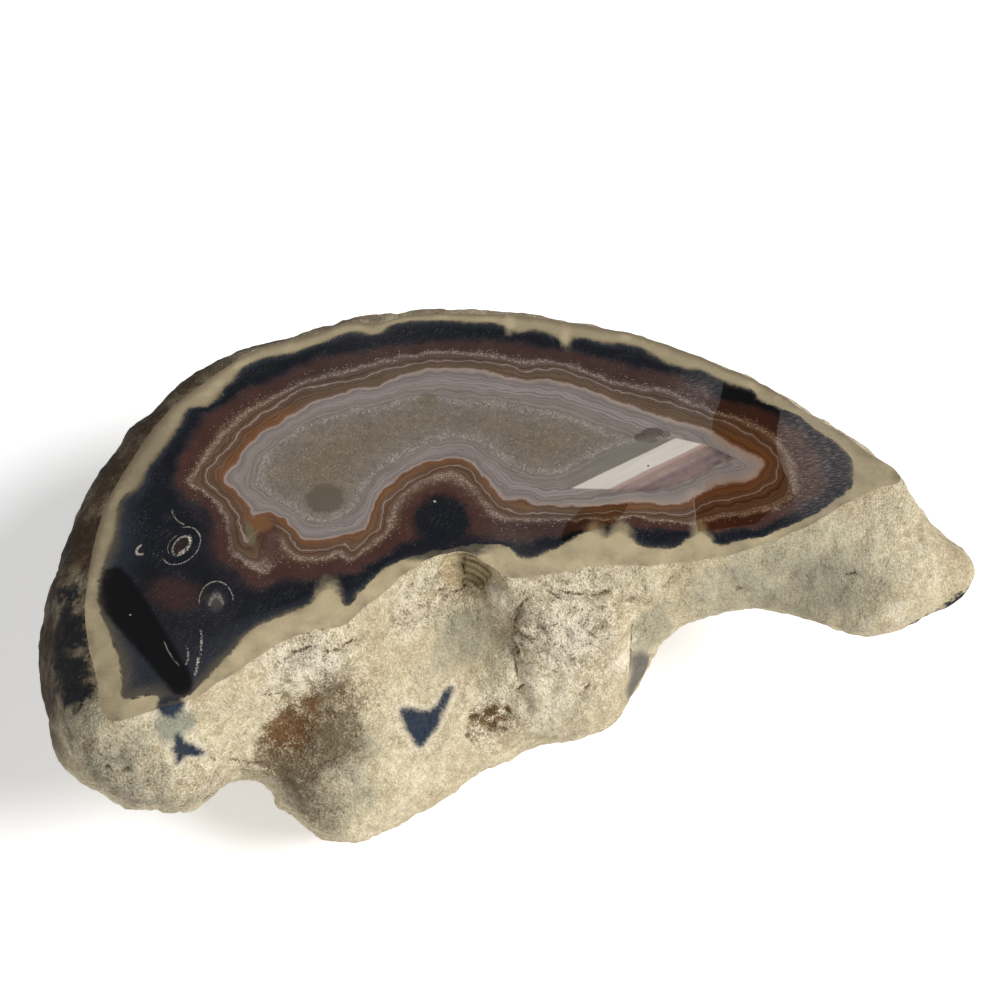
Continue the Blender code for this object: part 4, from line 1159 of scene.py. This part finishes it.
def rind_finish(colours):
    """The rough rind: fresh cream in front, brown skin behind, stains, darker cracks and pits, painted shade
    on its lower and left-facing parts and painted highlights on its grain.
    """
    pattern = Finish("weathered_rind", "3D")
    place = pattern.place
    broad = pattern.noise(place, 9.0, 3.0, 0.6)
    soft, mid, fine = pattern.soft, pattern.mid, pattern.fine
    patchy = soft * 0.6 + mid * 0.4
    crust = pattern.attribute("crust")
    crumbly = pattern.attribute("crumbly")
    smooth = pattern.attribute("smooth")

    def tone(name, texture, soften=0.5):
        cover = pattern.attribute(name) + (texture - 0.5) * 1.5
        return pattern.step(cover, 0.5 - soften / 2, 0.5 + soften / 2)

    colour = pattern.mix(pattern.step(broad * 0.6 + soft * 0.4, 0.38, 0.6), colours.sand, colours.cream)
    gritty = mid * 0.5 + fine * 0.5
    # Painted highlight in part: the raised points of the grain lightened towards the palest cream, partly the
    # rind's chalky white
    chalk_highlight = pattern.step(gritty, 0.48, 0.58) * (crumbly * 0.7 + 0.2)
    colour = pattern.mix(chalk_highlight, colour, colours.cream_pale)
    colour = pattern.mix(tone("pale", patchy, 0.8) * 0.8, colour, colours.cream_pale)
    # Partly painted shade on the lower, downward-facing parts, partly greenish-grey rind
    colour = pattern.mix(tone("grey", patchy, 0.9) * 0.75, colour, colours.shadow_grey)
    left = pattern.coordinate(place, "X")
    grey = pattern.step(broad * 0.8 + pattern.step(left, -60.0, -10.0) * 0.35, 0.4, 0.75)
    skin = pattern.mix(grey, colours.weathered, colours.weathered_grey)
    colour = pattern.mix(tone("brown", patchy, 1.0), colour, skin)
    colour = pattern.mix(tone("slate", mid, 0.35) * pattern.step(soft, 0.22, 0.5), colour, colours.slate)
    # Painted shade on the left, downward-facing side of the front lobe, broken up by the grain
    dun = pattern.attribute("dun") * (1.1 + (0.5 - gritty) * 3.5 + (soft - 0.5) * 1.5)
    colour = pattern.mix(pattern.step(dun, 0.1, 0.95) * 0.85, colour, colours.dun)
    rust = pattern.attribute("rust") * (1.1 + (0.5 - gritty) * 5.5 + (soft - 0.5) * 1.5)
    colour = pattern.mix(pattern.step(rust, 0.1, 0.9) * 0.9, colour, colours.rust)
    ragged = (mid - 0.5) * 1.4 + (fine - 0.5) * 1.2
    blue = pattern.attribute("blue") + ragged
    colour = pattern.mix(pattern.step(blue, -1.4, -0.2) * 0.35, colour, colours.cream_pale)
    colour = pattern.mix(tone("glassy", mid, 0.8) * 0.85, colour, colours.glassy)
    pebble = pattern.step(pattern.attribute("pebble") + ragged, -0.4, 0.6)
    colour = pattern.mix(pebble * 0.4, colour, colours.glassy)
    smoky = pattern.step(pattern.attribute("smoky") + ragged, -0.5, 0.7)
    colour = pattern.mix(smoky * 0.85, colour, colours.smoky)
    colour = pattern.mix(pattern.step(blue, -0.5, 0.6), colour, colours.window_blue)
    chip = pattern.step(pattern.attribute("chip"), 0.0, 0.5)
    ripple = chip_ripple(pattern)
    colour = pattern.mix(chip * 0.6, colour, colours.chip_tan)
    # Painted shade along the shells' ripples
    colour = pattern.mix(chip * ripple * 0.5, colour, colours.crevice)
    # Darker at the low points of the crumbs and grain: partly painted shade in the hollows, partly dirt in
    # the pores
    low = (pattern.step(crust, 0.0, -0.3) * 0.25
           + pattern.step(gritty, 0.45, 0.34) * (crumbly * 0.65 + pattern.step(soft, 0.42, 0.66) * 0.5))
    colour = pattern.mix(low * (1.0 - smooth * 0.5), colour, colours.crevice)
    # Darker in the cracks, fissures and pits
    crack = pattern.attribute("crack") + (fine - 0.5) * 0.5
    pit = pattern.attribute("pit") + (mid - 0.5) * 2.4
    fissure = pattern.step(abs(broad - 0.5), 0.01, 0.002) * pattern.step(soft, 0.52, 0.66) * 0.35
    crevice_darkening = (pattern.step(crack, 0.4, 0.1) * pattern.step(mid, 0.3, 0.5) + fissure
            + pattern.step(pit, 0.1, -0.6) * 0.85) * 0.9
    colour = pattern.mix(crevice_darkening.math("MINIMUM", crevice_darkening, 0.9), colour, colours.crevice)
    colour = pattern.shaded(colour, 1.02 + (fine - 0.5) * 0.9 + (mid - 0.5) * 0.6 + (broad - 0.5) * 0.4)
    height = (mid * 0.9 + fine * 0.6) * (crumbly * 0.7 + 0.5) * (1.0 - smooth * 0.4)
    height = height + soft * 1.4 - ripple * chip * 0.2
    return pattern.finish(colour, 0.85 - pattern.step(blue, 0.0, 0.5) * 0.4, height, MM, 0.2)


def chip_ripple(pattern):
    """Shell-like ripples on the right half of the edge chip, as 0 to 1."""
    from_centre = pattern.vector("SUBTRACT", pattern.place, CHIP_CENTRE)
    away = pattern.vector("LENGTH", from_centre, output=1)
    phase = away * (math.tau / CHIP_RIPPLE)
    right = pattern.step(pattern.coordinate(from_centre, "X"), -0.1, 0.2)
    return pattern.step(phase.math("SINE", phase), 0.0, 0.9) * right


def agate(context):
    """The settings of the stone and of the studio."""
    return context.scene.agate_shape, context.scene.agate_colours, context.scene.agate_studio


class AGATE_OT_stone(bpy.types.Operator):
    """Builds the stone: its polished face and its rind, in one closed mesh"""
    bl_idname = "agate.stone"
    bl_label = "Stone"

    def execute(self, context):
        shape, colours, _ = agate(context)
        draft = add_object("agate_draft", stone_mesh(shape))
        grain = draft.modifiers.new("grain", "NODES")
        grain.node_group = grain_tree()
        wanted = {name: getattr(shape, name.lower().replace(" ", "_")) for name in GRAIN_SIZES}
        wanted["Rind"] = rind_finish(colours)
        wanted["Polish"] = face_finish(colours)
        for socket in grain.node_group.interface.items_tree:
            if socket.name in wanted:
                grain[socket.identifier] = wanted[socket.name]
        evaluated = draft.evaluated_get(context.evaluated_depsgraph_get())
        mesh = bpy.data.meshes.new_from_object(evaluated)
        bpy.data.objects.remove(draft)
        stone = add_object(PIECE, mesh)
        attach(stone, "root")
        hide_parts(NODE)
        return {"FINISHED"}


class AGATE_OT_stage(bpy.types.Operator):
    """Builds the floor, the lights and the camera"""
    bl_idname = "agate.stage"
    bl_label = "Studio"

    def execute(self, context):
        studio = agate(context)[2]
        scene = context.scene
        scene.view_settings.view_transform = "Standard"
        floor_mesh = bpy.data.meshes.new("floor")
        bm = bmesh.new()
        bmesh.ops.create_grid(bm, x_segments=1, y_segments=1, size=FLOOR_SIZE)
        bm.to_mesh(floor_mesh)
        bm.free()
        material = bpy.data.materials.new("pale_floor")
        material.use_nodes = True
        paper = Graph(material.node_tree)
        shader = paper.node("ShaderNodeBsdfPrincipled", {}, {
            "Base Color": (0.9, 0.9, 0.9, 1.0), "Roughness": 0.9, "Specular IOR Level": 0.1,
            "Emission Color": (1.0, 1.0, 1.0, 1.0), "Emission Strength": 0.42})
        paper.node("ShaderNodeOutputMaterial", {}, {"Surface": shader})
        floor_mesh.materials.append(material)
        floor = add_object("floor", floor_mesh)

        world = bpy.data.worlds.new("soft_light")
        world.use_nodes = True
        sky = Graph(world.node_tree)
        light = sky.node("ShaderNodeBackground", {}, {"Color": (1.0, 1.0, 1.0, 1.0), "Strength": studio.sky})
        sky.node("ShaderNodeOutputWorld", {}, {"Surface": light})
        scene.world = world
        key = lamp("key", "SUN", studio.key, bearing=math.radians(66), elevation=math.radians(42))
        key.angle = SUN_SPREAD
        fill = lamp("fill", "AREA", studio.fill, bearing=math.radians(-10), elevation=math.radians(30))
        fill.size = FILL_SIZE

        camera = bpy.data.cameras.new("camera")
        camera.lens = studio.lens
        camera.sensor_width = SENSOR_WIDTH
        camera.clip_start = NEAREST_SEEN
        view = add_object("camera", camera)
        back = Vector((0.0, -math.cos(studio.elevation), math.sin(studio.elevation)))
        view.location = DRAWING_ORIGIN + back * studio.distance
        view.rotation_euler = (math.pi / 2 - studio.elevation, 0.0, 0.0)
        scene.camera = view
        return {"FINISHED"}


def lamp(name, kind, power, bearing, elevation):
    """A light that looks at the drawing's origin; bearing 0 is over the viewer, growing to the right."""
    light = bpy.data.lights.new(name, kind)
    light.energy = power
    way = Vector((math.sin(bearing) * math.cos(elevation), -math.cos(bearing) * math.cos(elevation),
                  math.sin(elevation)))
    thing = add_object(name, light)
    thing.location = DRAWING_ORIGIN + way * LAMP_DISTANCE
    thing.rotation_euler = way.to_track_quat("Z", "Y").to_euler()
    return light


class AGATE_PT_panel(bpy.types.Panel):
    """Lists the steps and their settings"""
    bl_label = "Agate"
    bl_idname = "AGATE_PT_panel"
    bl_space_type = "VIEW_3D"
    bl_region_type = "UI"
    bl_category = "Agate"

    def draw(self, context):
        for step in STEPS:
            self.layout.operator(step.bl_idname)
        for settings in agate(context):
            box = self.layout.box()
            for name in settings.bl_rna.properties.keys():
                if name not in ("rna_type", "name"):
                    box.prop(settings, name)


STEPS = (AGATE_OT_stone, AGATE_OT_stage)
CLASSES = (AgateShape, AgateColours, AgateStudio, *STEPS, AGATE_PT_panel)
SETTINGS = {"agate_shape": AgateShape, "agate_colours": AgateColours, "agate_studio": AgateStudio}


def register():
    for each in CLASSES:
        bpy.utils.register_class(each)
    for name, group in SETTINGS.items():
        setattr(bpy.types.Scene, name, PointerProperty(type=group))


def unregister():
    for name in SETTINGS:
        delattr(bpy.types.Scene, name)
    for each in reversed(CLASSES):
        bpy.utils.unregister_class(each)


def main():
    register()
    bpy.ops.agate.stone()
    bpy.ops.agate.stage()


if __name__ == "__main__":
    main()
